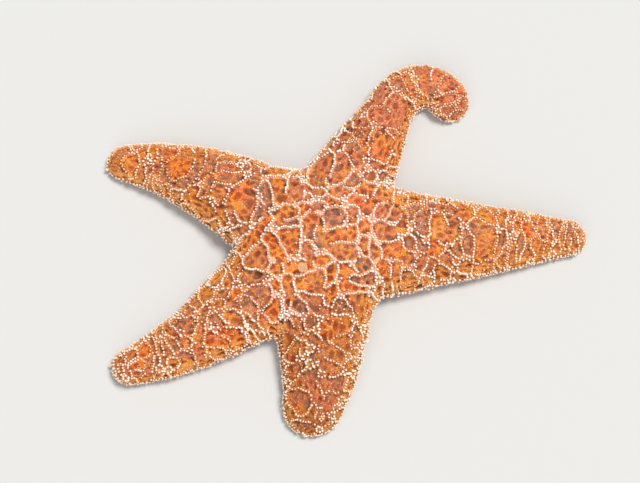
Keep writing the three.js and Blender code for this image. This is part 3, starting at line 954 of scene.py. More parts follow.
def plant(name, roots, directions, heights, radii, profile, sides, rng, tint=None):
    """Copies of a turned form on the skin, as one piece."""
    count, rings = len(roots), len(profile)
    spin = unit(np.cross(directions, rng.normal(size=(count, 3))))
    sideways = np.cross(directions, spin)
    local_r = np.concatenate([np.repeat(profile[:, 0], sides), [0, 0]])
    local_z = np.concatenate([np.repeat(profile[:, 1], sides), [profile[0, 1], 1.0]])
    local_a = np.concatenate([np.tile(np.arange(sides) / sides * 2 * np.pi, rings), [0, 0]])
    lift = directions[:, None] * (heights[:, None] * local_z)[:, :, None]
    out_x = spin[:, None] * (radii[:, None] * local_r * np.cos(local_a))[:, :, None]
    out_y = sideways[:, None] * (radii[:, None] * local_r * np.sin(local_a))[:, :, None]
    points = roots[:, None] + lift + out_x + out_y
    points[:, :, 2] = np.maximum(points[:, :, 2], FLOOR_GAP)

    size = len(local_r)  # points of one copy
    one_quads, one_triangles = ring_faces(rings, sides)
    starts = (np.arange(count) * size)[:, None, None]
    all_quads = (one_quads + starts).reshape(-1, 4)
    all_triangles = (one_triangles + starts).reshape(-1, 3)

    place = nearest_to(roots, skin[coarse])[0]
    spread = np.concatenate([np.repeat(np.linspace(1, 0.25, rings), sides), [1.1, 0]])
    patch = PATCH * spread[:, None] * np.stack([np.cos(local_a), np.sin(local_a)], -1)
    uv = (0.01 + 0.98 * coarse_uv[place])[:, None] + patch
    corners = np.concatenate([all_quads.ravel(), all_triangles.ravel()])
    corner_uv = uv.reshape(-1, 2)[corners]
    tint = rng.uniform(0, 1, count) if tint is None else tint
    attributes = {key: np.repeat(values[coarse[place]], size) for key, values in markings.items()}
    attributes["rise"] = np.tile(np.clip(local_z, 0, 1), count)
    attributes["tint"] = np.repeat(tint, size)
    return new_piece(name, points.reshape(-1, 3), all_quads, all_triangles, attributes, corner_uv)


print("places a root can be matched to:", len(coarse_uv))


# %% [markdown]
# ## Lone spines
#
# Some spines stand alone inside the meshes, on bare skin. A broad random field makes them plentiful in
# one place and rare in another. They are commonest low on the flanks, and where an arm's meshes are wide.

# %% Lone spines
LONE_TRIES, LONE_GAP = 12000, 1.8
LONE_SIZE = (0.45, 0.85)
lone = rng.choice(top[np.abs(across[top]) < NET_EDGE], LONE_TRIES, replace=False)
plenty = 0.7 * field(skin[lone], 30, 12) + 0.5 * smooth((flank[lone] - 0.5) / 0.4)
plenty = plenty * smooth((0.8 - along[lone]) / 0.15)
plenty += 1.5 * np.maximum(widening[lone] - 1, 0) * smooth((np.abs(across[lone]) - 0.35) / 0.3)
lone = lone[(net[lone] < 0.15) & (fine[lone] < 0.8) & (plenty > rng.uniform(0.1, 1.2, len(lone)))]
lone = lone[scatter(skin[lone], np.full(len(lone), LONE_GAP), rng)]
net_roots = np.concatenate([net_roots, skin[lone]])
net_ups = np.concatenate([net_ups, normals[lone]])
net_sizes = np.concatenate([net_sizes, rng.uniform(*LONE_SIZE, len(lone))])
net_tints = np.concatenate([net_tints, rng.uniform(0.5, 1, len(lone))])
print("lone spines:", len(lone))

# %% [markdown]
# ## The marginal rows
#
# Along the margins the spines are thickest: row above row follows the edge of the body from arm tip to
# arm tip, and the lowest ones stand out as a fringe. A row is one column of the arm's grid, walked at
# even steps. The spines of the groove's edge and the tube feet stand in rows as well.


# %% Rows along the margins
MARGIN_ROWS = [share * DOME_COLUMNS for share in (0.875, 0.94, 0.99)]  # from the ridge
MARGIN_SPACING, MARGIN_BOX = 2.25, 1.0
MARGIN_WANDER = 0.18


def row_points(arm, column, spacing, rng, first=0.0):
    """Places spaced evenly along one column of an arm's grid, with normals."""
    whole, part = int(column), column - int(column)
    line = lerp(skin[arm.numbers[:, whole]], skin[arm.numbers[:, whole + 1]], part)
    up = unit(lerp(normals[arm.numbers[:, whole]], normals[arm.numbers[:, whole + 1]], part))
    run = np.concatenate([[0], np.cumsum(np.linalg.norm(np.diff(line, axis=0), axis=1))])
    at = np.arange(spacing * (0.5 + first), run[-1], spacing)
    at = at + rng.uniform(-0.2, 0.2, len(at)) * spacing
    points = np.stack([np.interp(at, run, v) for v in line.T], 1)
    return points, unit(np.stack([np.interp(at, run, v) for v in up.T], 1))


def rows_on_both_sides(arm, columns, spacing, rng):
    """Row by row, its number, places and normals; every second row starts half a step on."""
    for sign in (-1, 1):
        for k, column in enumerate(columns):
            yield k, *row_points(arm, RIDGE + sign * column, spacing, rng, 0.5 * (k % 2))


margin_roots, margin_ups = [], []
for arm in ARMS:
    for _, points, ups in rows_on_both_sides(arm, MARGIN_ROWS, MARGIN_SPACING, rng):
        wander = rng.normal(0, MARGIN_WANDER, points.shape)
        margin_roots.append(points + wander - (wander * ups).sum(1)[:, None] * ups)
        margin_ups.append(ups)
margin_roots, margin_ups = np.concatenate(margin_roots), np.concatenate(margin_ups)
keep = thinned(margin_roots, MARGIN_BOX)
margin_roots, margin_ups = margin_roots[keep], margin_ups[keep]
print("marginal spines:", len(margin_roots))

# %% [markdown]
# ## Spines of the back, as pieces
#
# Each arm gets one piece for its net and one for its margins. The spines are smallest on the disc, and a
# broad random field makes them stouter in one place than in another. Out on the arms they are warmer.

# %% Spines as pieces
SPINE_HEIGHT, SPINE_RADIUS = 1.5, 0.66
MARGIN_HEIGHT, MARGIN_RADIUS = 1.25 * SPINE_HEIGHT, 1.08 * SPINE_RADIUS
SPINE_SIDES = 9
SPINE_LEAN = 0.12
coat = []
net_place = nearest_to(net_roots, skin[coarse])[0]
margin_place = nearest_to(margin_roots, skin[coarse])[0]
for i, arm in enumerate(ARMS):
    mine = coarse_arm[net_place] == i
    far_out = along[coarse[net_place[mine]]]
    size = np.interp(far_out, (0.15, 0.4, 1.0), (0.84, 0.94, 0.9)) * net_sizes[mine]
    size = size * (1 + 0.16 * field(net_roots[mine], 24, 18))
    lean = unit(net_ups[mine] + rng.normal(0, SPINE_LEAN, (len(size), 3)))
    tint = net_tints[mine] + 0.45 * smooth((far_out - 0.2) / 0.4)
    coat.append(plant(f"spines_net_{arm.name}", net_roots[mine], lean, SPINE_HEIGHT * size,
                      SPINE_RADIUS * size, BEAD, SPINE_SIDES, rng, tint.clip(0, 1)))
    mine = coarse_arm[margin_place] == i
    count = int(mine.sum())
    size = np.interp(along[coarse[margin_place[mine]]], (0.2, 1.0), (1.0, 0.85))
    size = size * rng.uniform(0.85, 1.1, count)
    lean = unit(margin_ups[mine] + rng.normal(0, SPINE_LEAN, (count, 3)))
    coat.append(plant(f"spines_margin_{arm.name}", margin_roots[mine], lean, MARGIN_HEIGHT * size,
                      MARGIN_RADIUS * size, BEAD, SPINE_SIDES, rng, rng.uniform(0.3, 0.8, count)))
print("spines on the back:", len(net_roots) + len(margin_roots))

# %% [markdown]
# ## Specks between the spines
#
# Round the foot of every spine sits a wreath of tiny pincers, too small to model one by one. Five-sided
# specks along the net's bars, and a few on the fine ridges, give the whitish grain that joins the beads
# into lines.

# %% Specks
SPECK = np.array([(1.0, 0.0), (0.8, 0.6)])
SPECK_SIZE = (0.2, 0.36)
SPECKS_ON_NET, SPECKS_ON_RIDGES = 0.16, 0.06  # share of the vertices that carry one
speckled = SPECKS_ON_NET * net[top] + SPECKS_ON_RIDGES * lattice[top]
candidates = top[rng.uniform(size=len(top)) < speckled]
for i, arm in enumerate(ARMS):
    mine = candidates[arm_of[candidates] == i]
    count = len(mine)
    size = rng.uniform(*SPECK_SIZE, count)
    roots = skin[mine] + rng.normal(0, 0.15, (count, 3)) * [1, 1, 0]
    coat.append(plant(f"specks_{arm.name}", roots, normals[mine], size, size, SPECK, 5, rng))
print("specks:", len(candidates))

# %% [markdown]
# ## Under the arms
#
# The sole carries scattered blunt spines too, and two rows of slender ones on each side lean over the
# groove to guard the tube feet.

# %% Spines of the sole and the groove's edge
SOLE_SPACING, SOLE_TRIES = 2.2, 3500
GROOVE_EDGE = DOME_COLUMNS + EDGE_COLUMNS + SOLE_COLUMNS  # columns from the ridge
GUARD_ROWS, GUARD_SPACING = (GROOVE_EDGE - 1.4, GROOVE_EDGE - 0.3), 1.5
SOLE_HIGH, SOLE_WIDE = 1.25, 0.72  # height and radius of the blunt spines
GUARD_HIGH, GUARD_WIDE = 2.3, 0.36  # and of the slender ones


def sole_places(arm, rng):
    """Random places on an arm's sole, each blended from the two grid points beside it, with normals."""
    row = rng.integers(0, len(arm.rows), SOLE_TRIES)
    past = rng.uniform(1.2, EDGE_COLUMNS + SOLE_COLUMNS - 1.4, SOLE_TRIES)
    column = RIDGE + rng.choice((-1, 1), SOLE_TRIES) * (DOME_COLUMNS + past)
    whole = column.astype(int)
    part = (column - whole)[:, None]
    here, beside = arm.numbers[row, whole], arm.numbers[row, whole + 1]
    return lerp(skin[here], skin[beside], part), unit(lerp(normals[here], normals[beside], part))


sole_roots, sole_ups = (np.concatenate(both) for both in zip(*(sole_places(arm, rng) for arm in ARMS)))
keep = scatter(sole_roots, np.full(len(sole_roots), SOLE_SPACING), rng)
sole_arm, sole_roots, sole_ups = keep // SOLE_TRIES, sole_roots[keep], sole_ups[keep]
print("spines of the sole:", len(keep))
for i, arm in enumerate(ARMS):
    guard_roots, guard_ups = [], []
    for k, points, _ in rows_on_both_sides(arm, GUARD_ROWS, GUARD_SPACING, rng):
        middle = axis_point(arm, np.linspace(0, arm.length, len(points)))
        inwards = unit(np.concatenate([middle - points[:, :2], np.zeros((len(points), 1))], 1))
        guard_roots.append(points)
        guard_ups.append(unit(np.array([0, 0, -0.35]) + inwards * (0.75 + 0.3 * k)))
    guard_roots, guard_ups = np.concatenate(guard_roots), np.concatenate(guard_ups)
    mine = sole_arm == i
    size = rng.uniform(0.75, 1.1, int(mine.sum()))
    coat.append(plant(f"spines_sole_{arm.name}", sole_roots[mine], unit(sole_ups[mine] + [0, 0, -0.2]),
                      SOLE_HIGH * size, SOLE_WIDE * size, BEAD, 6, rng))
    count = len(guard_roots)
    size = rng.uniform(0.85, 1.1, count)
    lean = unit(guard_ups + rng.normal(0, 0.1, (count, 3)))
    coat.append(plant(f"spines_groove_{arm.name}", guard_roots, lean,
                      GUARD_HIGH * size, GUARD_WIDE * size, CONE, 6, rng))

# %% [markdown]
# ## Tube feet
#
# The tube feet hang from the roof of the groove in four rows, each a soft tube that ends in a sucker.
# Here they reach down to the floor, as on an animal that holds fast. None grow over the mouth.

# %% Tube feet
FOOT_ROWS, FOOT_SPACING = (GROOVE_EDGE + 2.2, GROOVE_EDGE + 3.6), 2.3
MOUTH_CLEARANCE = 9
FOOT = np.array([  # radius and height of the rings from the root down to the sucker
    (0.55, -0.1), (0.62, 0.2), (0.52, 0.5), (0.55, 0.78), (0.62, 0.86), (1.0, 0.93), (0.9, 0.985),
])
feet_pieces = []
for i, arm in enumerate(ARMS):
    feet_roots, feet_ends = [], []
    for _, points, _ in rows_on_both_sides(arm, FOOT_ROWS, FOOT_SPACING, rng):
        ends = points + rng.normal(0, 0.8, points.shape)
        ends[:, 2] = rng.uniform(0.03, 0.9, len(points)) ** 2 + 0.05
        feet_roots.append(points)
        feet_ends.append(ends)
    feet_roots, feet_ends = np.concatenate(feet_roots), np.concatenate(feet_ends)
    from_mouth = np.linalg.norm(feet_roots[:, :2] - MIDDLE, axis=1)
    kept = from_mouth > MOUTH_CLEARANCE
    feet_roots, feet_ends, from_mouth = feet_roots[kept], feet_ends[kept], from_mouth[kept]
    reach = np.linalg.norm(feet_ends - feet_roots, axis=1)
    width = np.interp(from_mouth, (20, 140), (0.95, 0.55))
    feet_pieces.append(plant(f"tube_feet_{arm.name}", feet_roots, unit(feet_ends - feet_roots),
                             reach, width, FOOT, 8, rng))
    print("tube feet under the arm:", len(feet_roots))

# %% [markdown]
# ## The mouth
#
# The five grooves meet at the mouth. A soft round membrane closes the opening but for a small hole in the
# middle, and gathers towards it in folds, like a drawn purse. It is a surface of an angle and a radius:
# its height rises from the hole's lip to the rim, and a wave of the angle gives the folds. Inside the
# hole the surface turns up into the gullet, and behind the rim a back closes it.

# %% Mouth membrane
MOUTH_RADIUS = (mouth_high - mouth_low)[0] / 2
MOUTH_HOLE = 1.3
MOUTH_FOLDS = 15
GULLET_DEPTH = 2.4
MOUTH_SIDES, MOUTH_RINGS = 120, 26
turn, out = np.meshgrid(
    np.linspace(0, 2 * np.pi, MOUTH_SIDES, endpoint=False), np.linspace(0, 1, MOUTH_RINGS))
radius = lerp(MOUTH_HOLE, MOUTH_RADIUS, out)
folds = np.sin(MOUTH_FOLDS * turn + 1.2 * np.sin(2 * turn)) * 0.35 * np.exp(-out * 2.2)
radius = radius * (1 + 0.04 * np.sin(5 * turn + 1) * out)
height = mouth_low[2] + 0.8 + 2.6 * out**1.6 - 0.9 * np.exp(-(((out - 0.12) / 0.1) ** 2)) + folds
membrane = np.stack([MIDDLE[0] + radius * np.cos(turn), MIDDLE[1] + radius * np.sin(turn), height], -1)
gullet = lerp(np.array([*MIDDLE, 0]), membrane[0], np.array([0.5, 0.5, 1])) + [0, 0, GULLET_DEPTH]
back = membrane[-1] + [0, 0, 0.6]
rings = np.concatenate([gullet[None], membrane, back[None]])
mouth_faces = ring_faces(len(rings), MOUTH_SIDES, turned_over=True)
poles = np.array([[*MIDDLE, gullet[0, 2] + 0.2], [*MIDDLE, back[0, 2] + 0.4]])
outward = np.concatenate([[0], np.linspace(0, 1, MOUTH_RINGS), [1]])
rise = np.concatenate([np.repeat(outward, MOUTH_SIDES), [0, 1]])
mouth_points = np.concatenate([rings.reshape(-1, 3), poles])
mouth_piece = new_piece("mouth_membrane", mouth_points, *mouth_faces, {"rise": rise})
print("the mouth's radius:", MOUTH_RADIUS.round(2), "its hole:", MOUTH_HOLE)

# %% [markdown]
# ## The sieve plate
#
# Off the middle of the disc, between two arms, lies the sieve plate, through which the animal takes in
# water. It is a low round button with furrows that wander out from its middle. Its radius and angle are
# again the two parameters, and the furrows are a wave of the angle that drifts with the radius. Farther
# out they fork, so that three waves, each finer than the last, follow one another.

# %% Sieve plate
SIEVE_RADIUS = (sieve_high - sieve_low)[:2].min() / 2
SIEVE_SIDES, SIEVE_RINGS = 160, 26
SIEVE_SEAT = 4  # the plate leans as the skin does within this distance
spot = np.argmin(np.linalg.norm(skin[top] - sieve_middle, axis=1))
seat = np.linalg.norm(skin[top][:, :2] - sieve_middle[:2], axis=1) < SIEVE_SEAT
sieve_up = unit(normals[top][seat].mean(0))
spin = unit(np.cross(sieve_up, [1.0, 0, 0]))
sideways = np.cross(sieve_up, spin)
turn, out = np.meshgrid(
    np.linspace(0, 2 * np.pi, SIEVE_SIDES, endpoint=False), np.linspace(0.05, 1, SIEVE_RINGS))
wander = 1.6 * np.sin(3 * turn + 5 * out) + 1.1 * np.sin(5 * turn - 9 * out)
wander = wander + 1.5 * np.sin(2 * turn + 11 * out)
inner = np.sin(7 * turn + wander)
middle = np.sin(14 * turn + 1.6 * wander)
outer = np.sin(27 * turn + 2 * wander)
furrows = lerp(lerp(inner, middle, smooth((out - 0.25) / 0.2)), outer, smooth((out - 0.6) / 0.15))
furrows = furrows * smooth(out / 0.2)
lift = 0.8 * np.sqrt(1 - 0.9 * out**3) + 0.08 * furrows * (1 - out**8)
wide = SIEVE_RADIUS * out * (1 + 0.05 * np.sin(2 * turn) + 0.03 * np.sin(5 * turn))
top_of_plate = (wide * np.cos(turn))[..., None] * spin + (wide * np.sin(turn))[..., None] * sideways
top_of_plate = top_of_plate + lift[..., None] * sieve_up
base_of_plate = top_of_plate[-1] - (lift[-1] + 1.0)[:, None] * sieve_up
plate_root = skin[top][spot]
rings = plate_root + np.concatenate([top_of_plate, base_of_plate[None]])
sieve_faces = ring_faces(len(rings), SIEVE_SIDES, turned_over=True)
poles = plate_root + np.array([0.76, -1.0])[:, None] * sieve_up
furrow = np.concatenate([furrows.ravel(), np.zeros(SIEVE_SIDES), [0, 0]])
sieve_points = np.concatenate([rings.reshape(-1, 3), poles])
sieve_piece = new_piece("sieve_plate", sieve_points, *sieve_faces, {"furrow": furrow})
print("the sieve plate's radius:", SIEVE_RADIUS.round(2), "at", plate_root.round(1))

# %% [markdown]
# ## Eye spots
#
# At the very end of each groove sits a red cushion of light-sensing cups, the nearest thing that the
# animal has to an eye. It is a small oval knob.

# %% Eye spots
EYE_INSET, EYE_HEIGHT = 2.6, 2.2
EYE_LENGTH, EYE_RADIUS = 1.6, 0.7
ends = np.array([[*axis_point(arm, arm.length - EYE_INSET), EYE_HEIGHT] for arm in ARMS])
last_steps = [axis_point(arm, arm.length) - axis_point(arm, arm.length - 4) for arm in ARMS]
ahead = np.array([[*unit(step), 0.0] for step in last_steps])
eyes = plant("eye_spots", ends, ahead, np.full(5, EYE_LENGTH), np.full(5, EYE_RADIUS), BEAD, 10, rng)
print("eye spots:", ends.round(1))

# %% [markdown]
# ## Colours
#
# The skin is orange, but its colour lives in the detail: yellow-orange ridges, brick red between them,
# and grey-purple where the breathing patches lie. Each colour is written as it looks on a screen.


# %% Colours
def linear(red, green, blue):
    """A colour given as it looks on a screen, 0 to 255, as the linear values a shader takes."""
    c = np.array([red, green, blue]) / 255
    values = np.where(c <= 0.04045, c / 12.92, ((c + 0.055) / 1.055) ** 2.4)
    return (*(float(v) for v in values), 1.0)


ORANGE = linear(214, 110, 0)
CORAL = linear(204, 86, 50)
ROSE = linear(186, 98, 72)
BRICK = linear(120, 52, 0)
AMBER = linear(242, 156, 50)
PEACH_PINK = linear(230, 134, 80)
SALMON = linear(198, 112, 84)
VIVID = linear(226, 86, 0)
FLANK_GOLD = linear(244, 126, 0)
FLANK_PEACH = linear(255, 182, 100)
PURPLE = linear(126, 94, 82)
MAUVE = linear(164, 110, 86)
BROWN = linear(108, 46, 0)
# painted shade at the foot of the net's ridges
SHADE_UMBER = linear(76, 32, 0)
GILL = linear(178, 128, 104)
STRAW = linear(250, 200, 140)
SOLE_TAN = linear(190, 120, 70)
NET_PINK = linear(242, 200, 172)
CREAM = linear(252, 240, 228)
WARM_CREAM = linear(252, 210, 158)
print("orange as a shader takes it:", [round(value, 3) for value in ORANGE])

# %% [markdown]
# A finish is a tree of nodes. This class keeps each step of such a tree to one short call.


# %% Short ways to add nodes
class Nodes:
    """A material's node tree with short ways to add and link nodes."""

    def __init__(self, name):
        self.material = bpy.data.materials.new(name)
        self.material.use_nodes = True
        self.tree = self.material.node_tree
        self.shader = self.tree.nodes["Principled BSDF"]

    def add(self, kind, **settings):
        node = self.tree.nodes.new(kind)
        for key, value in settings.items():
            setattr(node, key, value)
        return node

    def link(self, source, target):
        self.tree.links.new(source, target)

    def attribute(self, name):
        return self.add("ShaderNodeAttribute", attribute_name=name).outputs["Fac"]

    def place(self):
        return self.add("ShaderNodeTexCoord").outputs["Object"]

    def noise(self, size, detail=3.0, roughness=0.6):
        """Smooth noise whose blotches are about that many millimetres across."""
        node = self.add("ShaderNodeTexNoise")
        node.inputs["Scale"].default_value = 1 / (size * MM)
        node.inputs["Detail"].default_value = detail
        node.inputs["Roughness"].default_value = roughness
        self.link(self.place(), node.inputs["Vector"])
        return node.outputs["Fac"]

    def cells(self, size, feature="F1"):
        """Distance inside small round cells about that many millimetres across."""
        node = self.add("ShaderNodeTexVoronoi", feature=feature)
        node.inputs["Scale"].default_value = 1 / (size * MM)
        self.link(self.place(), node.inputs["Vector"])
        return node.outputs["Distance"]

    def ramp(self, source, low, high, to_low=0.0, to_high=1.0):
        """The source's range low to high, stretched to the new one and clamped."""
        node = self.add("ShaderNodeMapRange", interpolation_type="SMOOTHSTEP")
        for key, value in zip(("From Min", "From Max", "To Min", "To Max"), (low, high, to_low, to_high)):
            node.inputs[key].default_value = value
        self.link(source, node.inputs["Value"])
        return node.outputs["Result"]

    def math(self, operation, a, b):
        node = self.add("ShaderNodeMath", operation=operation)
        for socket, value in zip(node.inputs, (a, b)):
            if isinstance(value, (int, float)):
                socket.default_value = value
            else:
                self.link(value, socket)
        return node.outputs[0]

    def times(self, a, b):
        return self.math("MULTIPLY", a, b)

    def blend(self, share, a, b, kind="MIX"):
        """The first colour turned towards the second by a share."""
        node = self.add("ShaderNodeMix", data_type="RGBA", blend_type=kind)
        for socket, value in zip((node.inputs[0], node.inputs[6], node.inputs[7]), (share, a, b)):
            if isinstance(value, (tuple, int, float)):
                socket.default_value = value
            else:
                self.link(value, socket)
        return node.outputs[2]

    def bump(self, height, distance, strength=1.0, under=None):
        node = self.add("ShaderNodeBump")
        node.inputs["Strength"].default_value = strength
        node.inputs["Distance"].default_value = distance * MM
        self.link(height, node.inputs["Height"])
        if under is not None:
            self.link(under, node.inputs["Normal"])
        return node.outputs["Normal"]


print("ways to add a node:", [way for way in vars(Nodes) if not way.startswith("_")])

# %% [markdown]
# ## The skin's finish
#
# The attributes say where ridges, patches and flanks are, and fine noise keeps the borders from looking
# drawn. The colour is built up in layers, each blended over the ones before:
#
# - coral to orange in wide blotches, rosy along the crest, vivid in some meshes and gold on the flanks,
# - browner out on the arms and greyer on the disc,
# - amber or peach along the fine ridges, and a salmon mottle,
# - grey-purple fields in the dusky meshes, umber or purple in the deep patches, with paler specks for
#   the tiny gills,
# - brown painted shade over an arm that droops away from the light,
# - painted shade as dark edges beside the net, pale granules, the pale net itself, and tan underneath.


# %% The skin's finish
def skin_colour(n):
    """The colour by layers, and the grain that also makes the finish rough."""
    flank, out, mood, fine_at = (n.attribute(key) for key in ("flank", "out", "mood", "fine"))
    grain = n.noise(0.9, 4)
    uneven = n.math("ADD", n.times(grain, 2.0), -1.0)
    inside = n.math("ADD", fine_at, uneven)
    blotch = n.noise(4.5, 3)
    wide_blotch = n.noise(13, 2)

    drift = n.math("ADD", n.attribute("tone"), blotch)
    base = n.blend(n.ramp(drift, 0.55, 1.0), CORAL, ORANGE)
    crest = n.ramp(flank, 0.0, 0.5, 0.75, 0)
    base = n.blend(n.times(crest, n.ramp(wide_blotch, 0.35, 0.6)), base, ROSE)
    base = n.blend(n.ramp(mood, 0.15, 0.45, 0.8, 0), base, VIVID)
    golden = n.times(n.ramp(flank, 0.25, 0.85, 0, 0.9), n.ramp(drift, 0.5, 1.1, 0.4, 1))
    base = n.blend(golden, base, FLANK_GOLD)
    base = n.blend(n.ramp(out, 0.2, 0.5, 0.18, 0.22), base, BROWN)
    base = n.blend(n.ramp(out, 0.2, 0.5, 0.12, 0), base, PURPLE)

    ridge_colour = n.blend(n.ramp(drift, 0.5, 1.0), PEACH_PINK, AMBER)
    ridge_colour = n.blend(n.ramp(flank, 0.2, 0.8), ridge_colour, FLANK_PEACH)
    widened = n.math("SUBTRACT", inside, n.times(flank, 0.3))
    ridge = n.times(n.ramp(widened, 0.0, 0.7, 0.85, 0), n.ramp(wide_blotch, 0.3, 0.6, 1, 0.6))
    base = n.blend(ridge, base, ridge_colour)
    paler = n.times(n.ramp(mood, 0.4, 0.7, 0.15, 1.0), n.ramp(flank, 0.2, 0.9, 1, 0.1))
    mottle = n.times(n.ramp(n.noise(2.6, 4), 0.4, 0.62), paler)
    base = n.blend(mottle, base, SALMON)
    base = n.blend(n.ramp(inside, 0.7, 1.25, 0, 0.4), base, BRICK)

    spot = n.math("ADD", fine_at, n.times(uneven, 0.6))
    deep = n.times(n.ramp(spot, 0.6, 1.5, 0, 0.95), n.ramp(n.attribute("depth"), 0.2, 0.75))
    deep = n.times(deep, n.ramp(flank, 0.0, 0.4, 0.8, 1))
    dusky = n.times(n.attribute("dusk"), n.ramp(inside, 0.0, 1.2, 0.35, 0.95))
    base = n.blend(dusky, base, n.blend(n.ramp(blotch, 0.35, 0.65), PURPLE, MAUVE))
    dark = n.blend(n.ramp(n.noise(5, 1), 0.45, 0.58), BROWN, PURPLE)
    dark = n.blend(n.ramp(flank, 0.2, 0.8, 0, 0.7), dark, BROWN)
    dark = n.blend(n.ramp(n.cells(0.55), 0.1, 0.32, 0.6, 0), dark, GILL)
    base = n.blend(deep, base, dark)
    # painted shade: brown laid over an arm that droops away from the light
    base = n.blend(n.attribute("shade"), base, BROWN)

    # painted shade: a dark band at the foot of the net's ridges, where they would shade the skin beside
    # them
    net_at = n.attribute("net")
    beside = n.times(n.ramp(net_at, 0.01, 0.08), n.ramp(net_at, 0.15, 0.4, 1, 0))
    beside = n.times(beside, n.ramp(n.noise(1.8, 3), 0.42, 0.6))
    beside = n.times(beside, n.ramp(out, 0.15, 0.4, 0.45, 0.75))
    base = n.blend(beside, base, SHADE_UMBER)
    base = n.blend(n.ramp(n.noise(1.5, 4), 0.4, 0.62, 0, 0.3), base, BRICK)
    granules = n.times(n.ramp(n.cells(1.0), 0.14, 0.34, 0.75, 0), n.ramp(inside, 0.5, 1.4, 1, 0.25))
    granules = n.times(granules, n.ramp(n.noise(3.5), 0.38, 0.55))
    base = n.blend(granules, base, STRAW)
    base = n.blend(n.ramp(n.attribute("pale"), 0.25, 0.85, 0, 0.85), base, NET_PINK)
    return n.blend(n.attribute("under"), base, SOLE_TAN), grain


def skin_finish():
    """Moist skin, rough by its grain, with wrinkles and pores as bumps."""
    n = Nodes("sea_star_skin")
    colour, grain = skin_colour(n)
    pores = n.cells(0.85)
    n.link(colour, n.shader.inputs["Base Color"])
    n.link(n.ramp(grain, 0.3, 0.7, 0.36, 0.56), n.shader.inputs["Roughness"])
    wrinkles = n.bump(n.noise(0.55, 4, 0.65), 0.35, 0.55)
    n.link(n.bump(pores, 0.30, 0.5, wrinkles), n.shader.inputs["Normal"])
    n.shader.inputs["Specular IOR Level"].default_value = 0.15
    n.shader.inputs["Coat Weight"].default_value = 0.08
    n.shader.inputs["Coat Roughness"].default_value = 0.16
    n.shader.inputs["Subsurface Weight"].default_value = 0.06
    n.shader.inputs["Subsurface Radius"].default_value = (0.0025, 0.0009, 0.0004)
    n.shader.inputs["Subsurface Scale"].default_value = 1.0
    return n.material


moist_skin = skin_finish()
skin_piece.data.materials.append(moist_skin)
print("nodes in the skin's finish:", len(moist_skin.node_tree.nodes))

# %% [markdown]
# ## The spines' finishes
#
# Spines start with the skin's colour at their roots, painted shade included, and turn cream towards their
# heads, so their finish shares the skin's function. The kinds differ in how far up the change comes and
# in how warm the cream is.


# %% The spines' finishes
def spine_finish(name, head, low, high):
    """The skin's colour at the root, turning to the head's colour between two heights."""
    n = Nodes(name)
    colour, grain = skin_colour(n)
    head = n.blend(n.ramp(n.attribute("tint"), 0.2, 1.0), head, WARM_CREAM)
    head = n.blend(n.ramp(grain, 0.35, 0.75, 0, 0.25), head, NET_PINK)
    colour = n.blend(n.ramp(n.attribute("rise"), low, high), colour, head)
    n.link(colour, n.shader.inputs["Base Color"])
    n.link(n.ramp(grain, 0.3, 0.7, 0.3, 0.5), n.shader.inputs["Roughness"])
    n.link(n.bump(n.noise(0.3, 3), 0.12, 0.4), n.shader.inputs["Normal"])
    n.shader.inputs["Coat Weight"].default_value = 0.2
    n.shader.inputs["Coat Roughness"].default_value = 0.2
    return n.material


spine_finishes = {
    "spines_net": spine_finish("cream_spines", CREAM, 0.0, 0.5),
    "spines_margin": spine_finish("margin_spines", CREAM, 0.35, 0.75),
    "specks": spine_finish("specks", WARM_CREAM, -0.6, 0.8),
    "spines_sole": spine_finish("sole_spines", WARM_CREAM, 0.1, 0.8),
    "spines_groove": spine_finish("groove_spines", WARM_CREAM, 0.1, 0.9),
}
for piece in coat:
    kind = piece.name.rsplit("_", 1)[0]
    piece.data.materials.append(spine_finishes[kind])
print("spine finishes:", len(spine_finishes), "on", len(coat), "pieces")

# %% [markdown]
# ## Small finishes
#
# The small parts have simpler finishes, all made alike: a colour that changes with an attribute, blotches
# of another colour over it, and noise for the roughness and the bumps. Tube feet are clear and yellowish
# with paler suckers, the membrane darkens towards the mouth, and the sieve plate is chalky, with painted
# shade in the troughs of its furrows. The eye spots are red.


# %% Small finishes
def small_finish(name, key, span, colours, blotches, rough, bump):
    """A span of an attribute between two colours; blotches as size, low, high, share and colour;
    roughness as size, least and most; bumps as size, detail, depth and strength."""
    n = Nodes(name)
    colour = n.blend(n.ramp(n.attribute(key), *span), *colours)
    size, low, high, share, blotch_colour = blotches
    spotted = n.blend(n.ramp(n.noise(size), low, high, 0, share), colour, blotch_colour)
    n.link(spotted, n.shader.inputs["Base Color"])
    size, least, most = rough
    n.link(n.ramp(n.noise(size), 0.3, 0.7, least, most), n.shader.inputs["Roughness"])
    size, detail, depth, strength = bump
    n.link(n.bump(n.noise(size, detail), depth, strength), n.shader.inputs["Normal"])
    return n.material


soft_feet = small_finish(
    "tube_feet", "rise", (0.8, 0.92), (linear(226, 178, 120), linear(246, 222, 184)),
    (0.7, 0.35, 0.7, 0.4, linear(206, 140, 84)), (0.5, 0.2, 0.34), (0.35, 3, 0.15, 0.5))
feet_shader = soft_feet.node_tree.nodes["Principled BSDF"]
feet_shader.inputs["Subsurface Weight"].default_value = 0.25
feet_shader.inputs["Subsurface Radius"].default_value = (0.002, 0.001, 0.0006)
feet_shader.inputs["Subsurface Scale"].default_value = 1.0
for piece in feet_pieces:
    piece.data.materials.append(soft_feet)
mouth_piece.data.materials.append(small_finish(
    "mouth_membrane", "rise", (0.02, 0.7), (linear(92, 40, 34), linear(214, 146, 106)),
    (0.9, 0.3, 0.7, 0.35, linear(176, 96, 70)), (0.6, 0.25, 0.42), (0.4, 4, 0.25, 0.5)))
